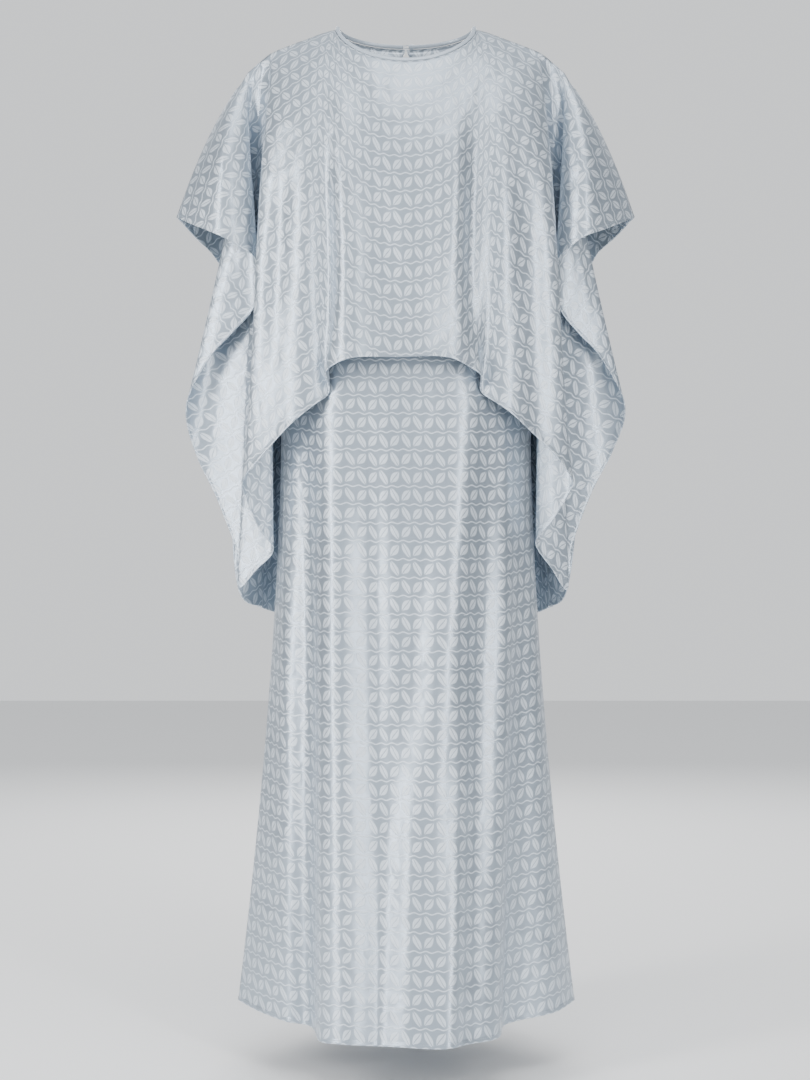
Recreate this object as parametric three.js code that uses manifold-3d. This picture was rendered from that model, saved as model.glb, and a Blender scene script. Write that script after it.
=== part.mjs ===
// Long satin kaftan dress with a cape sewn in at the neck, standing as it is worn, empty.
// Millimetres. The origin is level with the shoulder points, midway between them.
// The front faces -Y, +X is the right of a viewer in front, +Z is up.
import * as THREE from 'three';
import { mergeVertices } from 'three/addons/utils/BufferGeometryUtils.js';
import Module from 'manifold-3d';

// Driving sizes
const CLOTH = 1.2;
const SEAM_GAP = 0.3;
const LAYER_GAP = 1.1;
const NECK_HALF_WIDTH = 101;
const NECK_FRONT_DEPTH = 70;
const NECK_BACK_DEPTH = 62;
const NECK_FRONT_DROP = 62;
const NECK_BACK_DROP = 12;
const NECK_DROP_POWER = 1.2;
const DRESS_NECK_SETBACK = 2.5;
const NECK_SIDE_INSET = 2;
const NECK_SIDE_POWER = 9;
const STRAP_DROP = 10;
const STRAP_DROP_REACH = 7;
const UNDER_CAPE_GAP = 5;
const UNDER_CAPE_Z = -330;
const NECK_STEPS = 9;
const BINDING_HEIGHT = 5.5;
const BINDING_MARGIN = 0.5;
const KEYHOLE_BAND = 1.2;
const BUTTON_HEAD_RADIUS = 4.2;
const BUTTON_HEAD_HEIGHT = 2.6;
const BUTTON_SHANK_RADIUS = 1.5;
const BUTTON_SHANK_HEIGHT = 2.2;
const BUTTON_OFFSET = 5;
const BUTTON_SIDES = 20;
const LOOP_RADIUS = 0.6;
const LOOP_TAIL = 6;
const LOOP_TURN_STEP = 30;
const LOOP_SIDES = 8;
const LOOP_STEPS = 30;
const SKIRT_START = -560;
const SKIRT_FLARE = 1.65;
const CUT_START = 10;
const CUT_DEPTH = 200;
const SAME_PLACE = 1e-6;
const WELD = 1e-4;
const NO_AREA = 1e-9;

// Shoulder seam from the neck point to where the sleeve's crest begins
const SHOULDER_SEAM = [
  { name: 'neck point', x: 101, z: 0 },
  { name: 'shoulder middle', x: 156, z: -18 },
  { name: 'shoulder point', x: 194, z: -34 },
  { name: 'arm top', x: 226, z: -61 },
  { name: 'crest start', x: 242, z: -84 },
];

// Fold lines of the cape, from its centre to the sleeve's crest. Each line hangs from the neckline or
// the shoulder seam at top (0 at the centre, 101 and more is the distance from it along the seam) to
// x, y, z on the cape's edge. early and late bend it, as x, y, z, off the straight line near its top
// and near its end. right is how much further x and z lie on the right. steps is how many strips it
// takes to reach the next line.
const CAPE_FRONT_LINES = [
  { name: 'centre', top: 0, x: 0, y: -138, z: -481, early: [0, -50, 0], late: [0, -10, 0], right: [0, 0], steps: 2 },
  { name: 'quarter', top: 34, x: 51, y: -137, z: -481, early: [0, -50, 0], late: [0, -10, 0], right: [-4, 1], steps: 2 },
  { name: 'front turn', top: 58, x: 84, y: -133, z: -487, early: [5, -54, 4], late: [0, -9, 0], right: [-8, 0], steps: 2 },
  { name: 'notch ridge', top: 79, x: 113, y: -122, z: -503, early: [10, -78, 30], late: [0, -8, 0], right: [-9, 0], steps: 2 },
  { name: 'notch valley', top: 101, x: 106, y: -100, z: -526, early: [14, -102, 62], late: [0, -6, 0], right: [-3, 2], steps: 1 },
  { name: 'notch foot', top: 122, x: 122, y: -103, z: -542, early: [16, -106, 54], late: [0, -8, 0], right: [-2, 3], steps: 2 },
  { name: 'swell', top: 150, x: 160, y: -101, z: -574, early: [14, -100, 42], late: [0, -10, 0], right: [-4, 8], steps: 2 },
  { name: 'edge swell', top: 172, x: 195, y: -90, z: -608, early: [13, -92, 26], late: [0, -12, 0], right: [2, 8], steps: 2 },
  { name: 'front ridge', top: 186, x: 227, y: -73, z: -646, early: [13, -82, 8], late: [-8, -14, 0], right: [4, 2], steps: 1 },
  { name: 'ridge foot', top: 190, x: 225, y: -64, z: -668, early: [8, -74, 4], late: [-6, -12, 0], right: [4, 6], steps: 1 },
  { name: 'tuck', top: 194, x: 207, y: -54, z: -712, early: [-4, -68, 0], late: [-2, -8, 0], right: [-2, 8], steps: 1 },
  { name: 'tuck valley', top: 198, x: 187, y: -42, z: -744, early: [-14, -62, 0], late: [0, -5, 0], right: [-4, 10], steps: 1 },
  { name: 'flap', top: 201, x: 212, y: -32, z: -772, early: [-6, -36, 0], late: [0, -2, 0], right: [-6, 2], steps: 1 },
  { name: 'corner', top: 205, x: 237, y: -22, z: -797, early: [0, -8, 0], late: [0, 0, 0], right: [-8, -3], steps: 1 },
  { name: 'side foot', top: 208, x: 239, y: -16, z: -752, early: [0, -2, 0], late: [0, 0, 0], right: [-6, 4], steps: 1 },
  { name: 'side low', top: 211, x: 270, y: -2, z: -672, early: [0, 2, 0], late: [0, 3, 0], right: [-6, 6], steps: 1 },
  { name: 'side middle', top: 214, x: 300, y: 4, z: -608, early: [-4, 3, 0], late: [-3, 4, 0], right: [-4, 6], steps: 1 },
  { name: 'side ridge', top: 217, x: 313, y: -8, z: -540, early: [-12, 0, 0], late: [-8, 0, 0], right: [-1, 0], steps: 1 },
  { name: 'cascade out', top: 220, x: 281, y: -17, z: -474, early: [-9, -4, 0], late: [-6, -2, 0], right: [-4, 3], steps: 1 },
  { name: 'cascade middle', top: 223, x: 247, y: -22, z: -437, early: [-4, -10, 0], late: [-2, -3, 0], right: [-2, 0], steps: 1 },
  { name: 'cascade in', top: 226, x: 217, y: -27, z: -404, early: [0, -15, 0], late: [0, -4, 0], right: [2, -1], steps: 1 },
  { name: 'cascade valley', top: 229, x: 206, y: -36, z: -368, early: [0, -20, 0], late: [0, -6, 0], right: [3, 0], steps: 1 },
  { name: 'sleeve in', top: 232, x: 213, y: -46, z: -332, early: [4, -26, 0], late: [0, -10, 0], right: [1, -2], steps: 1 },
  { name: 'sleeve front', top: 235, x: 231, y: -57, z: -320, early: [6, -28, 4], late: [0, -12, 0], right: [0, 1], steps: 1 },
  { name: 'sleeve swell', top: 237.5, x: 252, y: -59, z: -308, early: [8, -28, 8], late: [2, -14, 2], right: [-2, 3], steps: 1 },
  { name: 'sleeve out', top: 239.5, x: 278, y: -48, z: -295, early: [8, -24, 10], late: [4, -14, 5], right: [-2, 1], steps: 1 },
  { name: 'sleeve rim', top: 241, x: 304, y: -27, z: -282, early: [8, -14, 12], late: [6, -10, 8], right: [-1, 1], steps: 1 },
  { name: 'crest', top: 242, x: 328, y: -0.15, z: -268, early: [6, 0, 13], late: [5, 0, 9], right: [-1, 0], steps: 0 },
];

const CAPE_BACK_LINES = [
  { name: 'centre', top: 0, x: 0, y: 148, z: -880, early: [0, 62, 0], late: [0, 0, 0], right: [0, 0], steps: 2 },
  { name: 'first ridge', top: 34, x: 58, y: 166, z: -882, early: [0, 58, 0], late: [0, 0, 0], right: [5, 2], steps: 2 },
  { name: 'first valley', top: 60, x: 96, y: 144, z: -875, early: [0, 58, 0], late: [0, 0, 0], right: [4, 0], steps: 2 },
  { name: 'second ridge', top: 80, x: 134, y: 156, z: -864, early: [8, 92, 50], late: [0, 0, 0], right: [-4, 0], steps: 2 },
  { name: 'second valley', top: 101, x: 156, y: 124, z: -850, early: [18, 108, 100], late: [0, 0, 0], right: [2, 2], steps: 2 },
  { name: 'third ridge', top: 140, x: 194, y: 128, z: -838, early: [14, 106, 60], late: [0, 4, 0], right: [3, 0], steps: 2 },
  { name: 'edge ridge', top: 176, x: 222, y: 100, z: -828, early: [12, 88, 24], late: [0, 8, 0], right: [-3, 0], steps: 2 },
  { name: 'tuck valley', top: 196, x: 212, y: 70, z: -827, early: [-4, 56, 4], late: [-4, 6, 0], right: [-2, 0], steps: 2 },
  { name: 'corner', top: 208, x: 242, y: 36, z: -804, early: [0, 40, 0], late: [0, 12, 0], right: [-9, 0], steps: 2 },
  { name: 'side low', top: 217, x: 255, y: 47, z: -680, early: [0, 36, 0], late: [0, 10, 0], right: [-5, 0], steps: 1 },
  { name: 'side middle', top: 222, x: 266, y: 58, z: -565, early: [0, 34, 0], late: [0, 8, 0], right: [-3, 0], steps: 1 },
  { name: 'side high', top: 226, x: 268, y: 66, z: -470, early: [0, 32, 0], late: [0, 6, 0], right: [-2, 0], steps: 1 },
  { name: 'sleeve low', top: 230, x: 265, y: 70, z: -398, early: [2, 30, 0], late: [0, 6, 0], right: [-2, 0], steps: 1 },
  { name: 'sleeve in', top: 234, x: 267, y: 65, z: -345, early: [4, 29, 2], late: [0, 8, 0], right: [0, 0], steps: 1 },
  { name: 'sleeve back', top: 237.5, x: 280, y: 50, z: -316, early: [7, 27, 7], late: [3, 12, 3], right: [-2, 2], steps: 1 },
  { name: 'sleeve rim', top: 240.5, x: 303, y: 27, z: -294, early: [8, 16, 11], late: [5, 10, 6], right: [-1, 1], steps: 1 },
  { name: 'crest', top: 242, x: 328, y: 0.15, z: -268, early: [6, 0, 13], late: [5, 0, 9], right: [-1, 0], steps: 0 },
];

// Level sections of the dress above the skirt: half width, depth in front and behind, and how far
// the section is from round, 1 for an ellipse
const DRESS_RINGS = [
  { name: 'shoulder', z: 0, width: 160, front: 42, back: 40, square: 2.4 },
  { name: 'upper chest', z: -110, width: 156, front: 78, back: 74, square: 1.9 },
  { name: 'bust', z: -250, width: 160, front: 102, back: 88, square: 1.3 },
  { name: 'waist', z: -400, width: 158, front: 100, back: 86, square: 1.15 },
  { name: 'hip', z: -560, width: 178, front: 118, back: 110, square: 1 },
];

// Lines of the dress from its centre to the side seam: the turn about the body's axis, in degrees,
// and x, y, z at the hem. right is how much further x and y lie on the right.
const DRESS_FRONT_LINES = [
  { name: 'centre', turn: 0, x: 0, y: -202, z: -1401, right: [0, 0], steps: 2 },
  { name: 'first swell', turn: 14, x: 42, y: -200, z: -1401, right: [2, -10], steps: 2 },
  { name: 'second swell', turn: 27, x: 78, y: -186, z: -1400, right: [2, -10], steps: 2 },
  { name: 'ridge', turn: 38, x: 110, y: -176, z: -1401, right: [-2, 4], steps: 1 },
  { name: 'ridge side', turn: 46, x: 127, y: -148, z: -1401, right: [-8, 0], steps: 2 },
  { name: 'valley', turn: 55, x: 137, y: -97, z: -1399, right: [-6, -8], steps: 2 },
  { name: 'side front', turn: 66, x: 163, y: -78, z: -1397, right: [-4, -4], steps: 1 },
  { name: 'side swell', turn: 78, x: 206, y: -46, z: -1392, right: [4, -4], steps: 2 },
  { name: 'side seam', turn: 90, x: 240, y: -0.15, z: -1387, right: [1, 0], steps: 0 },
];

const DRESS_BACK_LINES = [
  { name: 'centre', turn: 0, x: 0, y: 174, z: -1396, right: [0, 0], steps: 2 },
  { name: 'first ridge', turn: 15, x: 50, y: 190, z: -1397, right: [4, 4], steps: 2 },
  { name: 'first valley', turn: 28, x: 88, y: 162, z: -1396, right: [2, -3], steps: 2 },
  { name: 'second ridge', turn: 41, x: 126, y: 168, z: -1396, right: [-4, 0], steps: 2 },
  { name: 'second valley', turn: 54, x: 148, y: 122, z: -1394, right: [-3, 4], steps: 2 },
  { name: 'third ridge', turn: 66, x: 186, y: 112, z: -1392, right: [2, 0], steps: 2 },
  { name: 'side back', turn: 79, x: 220, y: 56, z: -1389, right: [1, 2], steps: 2 },
  { name: 'side seam', turn: 90, x: 240, y: 0.15, z: -1387, right: [1, 0], steps: 0 },
];

// Armhole of the dress: the height of its edge on each turn from the strap's end to the underarm
const ARMHOLE = [
  { name: 'strap end', turn: 58, z: -20 },
  { name: 'upper edge', turn: 59.5, z: -80 },
  { name: 'lower edge', turn: 62.5, z: -140 },
  { name: 'curve', turn: 70, z: -188 },
  { name: 'underarm front', turn: 80, z: -211 },
  { name: 'underarm', turn: 90, z: -216 },
];
const STRAP_END = 144;
const NECK_TURN = 38;
const TOP_FADE = 17;

const CAPE_ROWS = 13;
const CAPE_ROW_POWER = 1.25;
const DRESS_ROWS = 15;
const DRESS_ROW_POWER = 1.3;

// Keyhole at the centre back: half widths down its length
const KEYHOLE = [
  { name: 'slit top', half: 2.2, z: 12 },
  { name: 'slit end', half: 2.2, z: -13 },
  { name: 'shoulder', half: 7, z: -26 },
  { name: 'widest', half: 8.5, z: -42 },
  { name: 'round', half: 7, z: -56 },
  { name: 'foot', half: 3.2, z: -63 },
];
const KEYHOLE_SMOOTH = 4;

// Profile of the button's head, as shares of its radius and height
const BUTTON_HEAD = [
  { name: 'underside', radius: 0.86, height: 0 },
  { name: 'rim', radius: 1, height: 0.35 },
  { name: 'dome', radius: 0.86, height: 0.75 },
  { name: 'crown', radius: 0.5, height: 0.96 },
];

// Legs of the loop from its sewn end to the button, as shares of its reach and of its bend
const LOOP_LEG = [
  { name: 'sewn end', reach: 1, spread: 0.6 },
  { name: 'middle', reach: 0.5, spread: 0.9 },
];

const toRadians = THREE.MathUtils.degToRad;
const wasm = await Module();
wasm.setup();

function spline(before, from, to, after, share) {
  const s2 = share * share;
  const s3 = s2 * share;
  const bend = (2 * before - 5 * from + 4 * to - after) * s2 + (3 * from - before - 3 * to + after) * s3;
  return 0.5 * (2 * from + (to - before) * share + bend);
}

// Value of one column of a table between its rows, as a smooth curve through them
function along(rows, key, place) {
  const last = rows.length - 1;
  const index = Math.min(Math.floor(place), last - 1);
  const at = (i) => rows[THREE.MathUtils.clamp(i, 0, last)][key];
  return spline(at(index - 1), at(index), at(index + 1), at(index + 2), place - index);
}

// Place in a table, as a row number with a fraction, where the column key has the value wanted
function placeOf(rows, key, wanted) {
  const rising = rows[rows.length - 1][key] > rows[0][key];
  let index = 0;
  while (index < rows.length - 2 && (rows[index + 1][key] < wanted) === rising) index += 1;
  const share = (wanted - rows[index][key]) / (rows[index + 1][key] - rows[index][key]);
  return index + THREE.MathUtils.clamp(share, 0, 1);
}

function straightAlong(rows, key, place) {
  const index = Math.min(Math.floor(place), rows.length - 2);
  return THREE.MathUtils.lerp(rows[index][key], rows[index + 1][key], place - index);
}

function neckPoint(top, side) {
  const turn = toRadians((90 * Math.abs(top)) / NECK_HALF_WIDTH);
  const depth = side < 0 ? NECK_FRONT_DEPTH : NECK_BACK_DEPTH;
  const drop = side < 0 ? NECK_FRONT_DROP : NECK_BACK_DROP;
  const x = Math.sign(top) * NECK_HALF_WIDTH * Math.sin(turn);
  const y = side * depth * Math.cos(turn);
  return new THREE.Vector3(x, y, -drop * Math.cos(turn) ** NECK_DROP_POWER);
}

// Point on the cape's top edge: the neckline, then the shoulder seam. side is -1 in front, 1 behind.
function topPoint(top, side) {
  const reach = Math.abs(top);
  if (reach <= NECK_HALF_WIDTH) return neckPoint(top, side);
  const z = along(SHOULDER_SEAM, 'z', placeOf(SHOULDER_SEAM, 'x', reach));
  return new THREE.Vector3(Math.sign(top) * reach, (side * SEAM_GAP) / 2, z);
}

// Both halves of a table of lines, from the left end to the right end, with flat columns
function bothHalves(lines, extend) {
  const half = (sign) => lines.map((line) => extend(line, sign));
  const left = half(-1).reverse();
  const right = half(1);
  const strips = lines.map((line) => line.steps);
  const leftStrips = strips.slice(0, -1).reverse();
  return { rows: [...left, ...right.slice(1)], strips: [...leftStrips, ...strips.slice(0, -1)] };
}

function capeRow(line, sign) {
  const shift = sign > 0 ? line.right : [0, 0];
  return {
    top: sign * line.top,
    x: sign * (line.x + shift[0]),
    y: line.y,
    z: line.z + shift[1],
    earlyX: sign * line.early[0],
    earlyY: line.early[1],
    earlyZ: line.early[2],
    lateX: sign * line.late[0],
    lateY: line.late[1],
    lateZ: line.late[2],
  };
}

// Places of a panel's columns: NECK_STEPS on each half of the neckline, alike on every panel, and
// then each line's own strips. limit is the value of the column key at the neck point.
function columnPlaces(rows, strips, key, limit) {
  const found = [];
  for (let step = -NECK_STEPS; step <= NECK_STEPS; step += 1) {
    found.push(placeOf(rows, key, (limit * step) / NECK_STEPS));
  }
  strips.forEach((count, index) => {
    for (let step = 0; step <= count; step += 1) {
      const place = index + step / count;
      if (Math.abs(straightAlong(rows, key, place)) > limit + SAME_PLACE) found.push(place);
    }
  });
  return [...new Set(found)].sort((a, b) => a - b);
}

function capePoint(rows, place, share, side) {
  const value = (key) => along(rows, key, place);
  const start = topPoint(straightAlong(rows, 'top', place), side);
  const end = new THREE.Vector3(value('x'), value('y'), value('z'));
  const early = new THREE.Vector3(value('earlyX'), value('earlyY'), value('earlyZ'));
  const late = new THREE.Vector3(value('lateX'), value('lateY'), value('lateZ'));
  const point = start.lerp(end, share);
  point.addScaledVector(early, 3 * share * (1 - share) ** 2);
  return point.addScaledVector(late, 3 * share * share * (1 - share));
}

function capeGrid(lines, side) {
  const { rows, strips } = bothHalves(lines, capeRow);
  const columns = columnPlaces(rows, strips, 'top', NECK_HALF_WIDTH).map((place) => {
    const points = [];
    for (let row = 0; row <= CAPE_ROWS; row += 1) {
      points.push(capePoint(rows, place, (row / CAPE_ROWS) ** CAPE_ROW_POWER, side));
    }
    return { points, onSeam: Math.abs(straightAlong(rows, 'top', place)) > NECK_HALF_WIDTH - SAME_PLACE };
  });
  return side < 0 ? columns : columns.reverse();
}

function dressRow(line, sign) {
  const shift = sign > 0 ? line.right : [0, 0];
  return { turn: sign * line.turn, x: sign * (line.x + shift[0]), y: line.y + shift[1], z: line.z };
}

function ringPoint(turn, z, side) {
  const place = placeOf(DRESS_RINGS, 'z', z);
  const depth = along(DRESS_RINGS, side < 0 ? 'front' : 'back', place);
  const x = along(DRESS_RINGS, 'width', place) * Math.sin(toRadians(turn));
  const share = Math.max(Math.cos(toRadians(turn)), 0) ** along(DRESS_RINGS, 'square', place);
  return new THREE.Vector3(x, side * depth * share, z);
}

// Where the neck's own frame puts the dress: under the cape, one cloth and one layer gap in
function dressTop(turn, side, capeNeck) {
  const reach = Math.abs(turn);
  if (reach <= NECK_TURN + SAME_PLACE) {
    const frame = capeNeck(THREE.MathUtils.clamp(turn / NECK_TURN, -1, 1) * NECK_HALF_WIDTH);
    const point = frame.point.clone().addScaledVector(frame.outward, -CLOTH - LAYER_GAP);
    point.addScaledVector(frame.up, -DRESS_NECK_SETBACK);
    point.x -= NECK_SIDE_INSET * (turn / NECK_TURN) ** NECK_SIDE_POWER;
    return point;
  }
  if (reach <= ARMHOLE[0].turn) {
    const share = (reach - NECK_TURN) / (ARMHOLE[0].turn - NECK_TURN);
    const top = topPoint(THREE.MathUtils.lerp(NECK_HALF_WIDTH, STRAP_END, share), side);
    const drop = STRAP_DROP * Math.min((top.x - NECK_HALF_WIDTH) / STRAP_DROP_REACH, 1);
    return new THREE.Vector3(Math.sign(turn) * top.x, top.y, top.z - CLOTH - LAYER_GAP - drop);
  }
  return ringPoint(turn, along(ARMHOLE, 'z', placeOf(ARMHOLE, 'turn', reach)), side);
}

// Depth of a cape panel at x, z, the least of its layers there, or no limit clear of it
function capeDepth(panel, x, z) {
  let depth = Infinity;
  const weight = (a, b) => (b.x - a.x) * (z - a.z) - (b.z - a.z) * (x - a.x);
  const look = (a, b, c) => {
    const parts = [weight(b, c), weight(c, a), weight(a, b)];
    const whole = parts[0] + parts[1] + parts[2];
    if (Math.abs(whole) < NO_AREA || parts.some((part) => part / whole < 0)) return;
    depth = Math.min(depth, Math.abs((a.y * parts[0] + b.y * parts[1] + c.y * parts[2]) / whole));
  };
  for (let i = 0; i < panel.length - 1; i += 1) {
    const near = panel[i].points;
    const far = panel[i + 1].points;
    for (let j = 0; j < near.length - 1; j += 1) {
      look(near[j], near[j + 1], far[j]);
      look(near[j + 1], far[j + 1], far[j]);
    }
  }
  return depth;
}

function dressPoint(rows, place, share, side, capeNeck) {
  const turn = straightAlong(rows, 'turn', place);
  const hem = new THREE.Vector3(along(rows, 'x', place), along(rows, 'y', place), along(rows, 'z', place));
  const top = dressTop(turn, side, capeNeck);
  const z = THREE.MathUtils.lerp(top.z, hem.z, share);
  const point = ringPoint(turn, Math.max(z, SKIRT_START), side);
  if (z < SKIRT_START) point.lerp(hem, ((z - SKIRT_START) / (hem.z - SKIRT_START)) ** SKIRT_FLARE);
  point.z = z;
  const lift = top.sub(ringPoint(turn, top.z, side));
  return point.addScaledVector(lift, (1 - share) ** TOP_FADE);
}

function dressGrid(lines, side, capeNeck, cape) {
  const { rows, strips } = bothHalves(lines, dressRow);
  const columns = columnPlaces(rows, strips, 'turn', NECK_TURN).map((place) => {
    const points = [];
    for (let row = 0; row <= DRESS_ROWS; row += 1) {
      const point = dressPoint(rows, place, (row / DRESS_ROWS) ** DRESS_ROW_POWER, side, capeNeck);
      if (row > 0 && point.z > UNDER_CAPE_Z) {
        const limit = Math.max(capeDepth(cape, point.x, point.z) - CLOTH - UNDER_CAPE_GAP, SEAM_GAP);
        point.y = side * Math.min(Math.abs(point.y), limit);
      }
      points.push(point);
    }
    const turn = Math.abs(straightAlong(rows, 'turn', place));
    return { points, onSeam: turn > NECK_TURN - SAME_PLACE && turn < ARMHOLE[0].turn };
  });
  return side < 0 ? columns : columns.reverse();
}

// Outward directions at the points of a grid, from the faces around each of them
function gridNormals(grid) {
  const normals = grid.map((column) => column.map(() => new THREE.Vector3()));
  for (let i = 0; i < grid.length - 1; i += 1) {
    for (let j = 0; j < grid[0].length - 1; j += 1) {
      const across = grid[i + 1][j + 1].clone().sub(grid[i][j]);
      const other = grid[i][j + 1].clone().sub(grid[i + 1][j]);
      const normal = other.cross(across);
      for (const [a, b] of [[i, j], [i + 1, j], [i, j + 1], [i + 1, j + 1]]) normals[a][b].add(normal);
    }
  }
  return normals.map((column) => column.map((normal) => normal.normalize()));
}

// Keep the seam's points half a gap short of the seam's plane
function holdSeam(outer, inner, side) {
  const edge = (side * SEAM_GAP) / 2;
  const nearest = side < 0 ? Math.max(outer.y, inner.y) : Math.min(outer.y, inner.y);
  outer.y += edge - nearest;
  inner.y += edge - nearest;
}

function boundary(columns, rows) {
  const loop = [];
  for (let j = 0; j < rows - 1; j += 1) loop.push([0, j]);
  for (let i = 0; i < columns - 1; i += 1) loop.push([i, rows - 1]);
  for (let j = rows - 1; j > 0; j -= 1) loop.push([columns - 1, j]);
  for (let i = columns - 1; i > 0; i -= 1) loop.push([i, 0]);
  return loop;
}

// Closed cloth wall on a grid of points, one cloth thick towards the inside
function clothWall(panel, side) {
  const grid = panel.map((column) => column.points);
  const columns = grid.length;
  const rows = grid[0].length;
  const normals = gridNormals(grid);
  const inner = grid.map((column, i) => column.map((p, j) => p.clone().addScaledVector(normals[i][j], -CLOTH)));
  grid.forEach((column, i) => {
    column.forEach((point, j) => {
      const sideEdge = i === 0 || i === columns - 1;
      if (sideEdge || (j === 0 && panel[i].onSeam)) holdSeam(point, inner[i][j], side);
    });
  });
  const points = [...grid.flat(), ...inner.flat()];
  const outerIndex = (i, j) => i * rows + j;
  const innerIndex = (i, j) => columns * rows + i * rows + j;
  const faces = [];
  for (let i = 0; i < columns - 1; i += 1) {
    for (let j = 0; j < rows - 1; j += 1) {
      const corners = [[i, j], [i, j + 1], [i + 1, j + 1], [i + 1, j]];
      const turned = i >= (columns - 1) / 2;
      const picks = turned ? [[0, 1, 3], [1, 2, 3]] : [[0, 1, 2], [0, 2, 3]];
      for (const [a, b, c] of picks) {
        faces.push(outerIndex(...corners[a]), outerIndex(...corners[b]), outerIndex(...corners[c]));
        faces.push(innerIndex(...corners[a]), innerIndex(...corners[c]), innerIndex(...corners[b]));
      }
    }
  }
  const loop = boundary(columns, rows);
  loop.forEach((from, index) => {
    const to = loop[(index + 1) % loop.length];
    faces.push(outerIndex(...to), outerIndex(...from), innerIndex(...from));
    faces.push(outerIndex(...to), innerIndex(...from), innerIndex(...to));
  });
  return facesToGeometry(points, faces);
}

function facesToGeometry(points, faces) {
  const geometry = new THREE.BufferGeometry();
  geometry.setAttribute('position', new THREE.Float32BufferAttribute(points.flatMap((p) => [p.x, p.y, p.z]), 3));
  geometry.setIndex(faces);
  return geometry;
}

// Strip of one section after another, closed at both ends, each section a ring of points
function sweptRings(rings) {
  const size = rings[0].length;
  const faces = [];
  for (let i = 0; i < rings.length - 1; i += 1) {
    for (let k = 0; k < size; k += 1) {
      const next = (k + 1) % size;
      const a = i * size + k;
      const b = i * size + next;
      faces.push(a, b, b + size, a, b + size, a + size);
    }
  }
  const last = (rings.length - 1) * size;
  for (let k = 1; k < size - 1; k += 1) {
    faces.push(0, k + 1, k);
    faces.push(last, last + k, last + k + 1);
  }
  return facesToGeometry(rings.flat(), faces);
}

// The neckline's frames: its point, the way up out of the cloth, square to the neckline, and outward
function neckFrames(lines, side) {
  const { rows } = bothHalves(lines, capeRow);
  const step = 0.02;
  return (top) => {
    const point = neckPoint(top, side);
    const before = neckPoint(Math.max(top - 1, -NECK_HALF_WIDTH), side);
    const across = neckPoint(Math.min(top + 1, NECK_HALF_WIDTH), side).sub(before).normalize();
    const up = point.clone().sub(capePoint(rows, placeOf(rows, 'top', top), step, side));
    up.addScaledVector(across, -up.dot(across)).normalize();
    const outward = side < 0 ? across.cross(up) : up.clone().cross(across);
    return { point, up, outward: outward.normalize() };
  };
}

function joinFrames(first, second) {
  return {
    point: first.point.clone().lerp(second.point, 0.5),
    up: first.up.clone().add(second.up).normalize(),
    outward: first.outward.clone().add(second.outward).normalize(),
  };
}

function toManifold(geometry) {
  const clean = geometry.clone();
  clean.deleteAttribute('normal');
  clean.deleteAttribute('uv');
  const merged = mergeVertices(clean, WELD);
  const mesh = new wasm.Mesh({
    numProp: 3,
    vertProperties: new Float32Array(merged.attributes.position.array),
    triVerts: new Uint32Array(merged.index.array),
  });
  return new wasm.Manifold(mesh);
}

function fromManifold(solid) {
  const mesh = solid.getMesh();
  const geometry = new THREE.BufferGeometry();
  geometry.setAttribute('position', new THREE.BufferAttribute(new Float32Array(mesh.vertProperties), 3));
  geometry.setIndex(Array.from(mesh.triVerts));
  return geometry;
}

// Half widths of the keyhole from its top to its foot, less an inset
function keyholeSide(inset, from) {
  const side = [];
  const last = KEYHOLE.length - 1;
  for (let step = from * KEYHOLE_SMOOTH; step <= last * KEYHOLE_SMOOTH; step += 1) {
    const place = step / KEYHOLE_SMOOTH;
    const half = Math.max(along(KEYHOLE, 'half', place) - inset, 0);
    side.push({ half, z: along(KEYHOLE, 'z', place) + (inset * place) / last });
  }
  return side;
}

function keyholeCutter() {
  const side = keyholeSide(0, 0);
  const outline = [...side, ...[...side].reverse().map((p) => ({ half: -p.half, z: p.z }))];
  const shape = new THREE.Shape(outline.map((p) => new THREE.Vector2(p.half, p.z)));
  const geometry = new THREE.ExtrudeGeometry(shape, { depth: CUT_DEPTH, bevelEnabled: false });
  geometry.rotateX(Math.PI / 2);
  geometry.translate(0, CUT_START + CUT_DEPTH, 0);
  return toManifold(geometry);
}

// Depth of a grid's middle column at a height
function centreDepth(grid, z) {
  const column = grid[(grid.length - 1) / 2].points;
  let row = 0;
  while (row < column.length - 2 && column[row + 1].z > z) row += 1;
  const share = (z - column[row].z) / (column[row + 1].z - column[row].z);
  return THREE.MathUtils.lerp(column[row].y, column[row + 1].y, share);
}

function makeMesh(name, geometry, material) {
  const mesh = new THREE.Mesh(geometry, material);
  mesh.name = name;
  return mesh;
}

const frontNeck = neckFrames(CAPE_FRONT_LINES, -1);
const backNeck = neckFrames(CAPE_BACK_LINES, 1);

const capeFrontGrid = capeGrid(CAPE_FRONT_LINES, -1);
const capeBackGrid = capeGrid(CAPE_BACK_LINES, 1);
const dressFrontGrid = dressGrid(DRESS_FRONT_LINES, -1, frontNeck, capeFrontGrid);
const dressBackGrid = dressGrid(DRESS_BACK_LINES, 1, backNeck, capeBackGrid);
const keyhole = keyholeCutter();

const satin = new THREE.MeshStandardMaterial({ color: 0xc3cfda, roughness: 0.35, metalness: 0.1 });
const dressSatin = new THREE.MeshStandardMaterial({ color: 0xc9d3dd, roughness: 0.35, metalness: 0.1 });
const trim = new THREE.MeshStandardMaterial({ color: 0xd8e0e8, roughness: 0.4, metalness: 0.05 });
const shell = new THREE.MeshStandardMaterial({ color: 0xe6eaee, roughness: 0.25, metalness: 0 });

const capeBackWall = clothWall(capeBackGrid, 1);
const dressBackWall = clothWall(dressBackGrid, 1);

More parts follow.
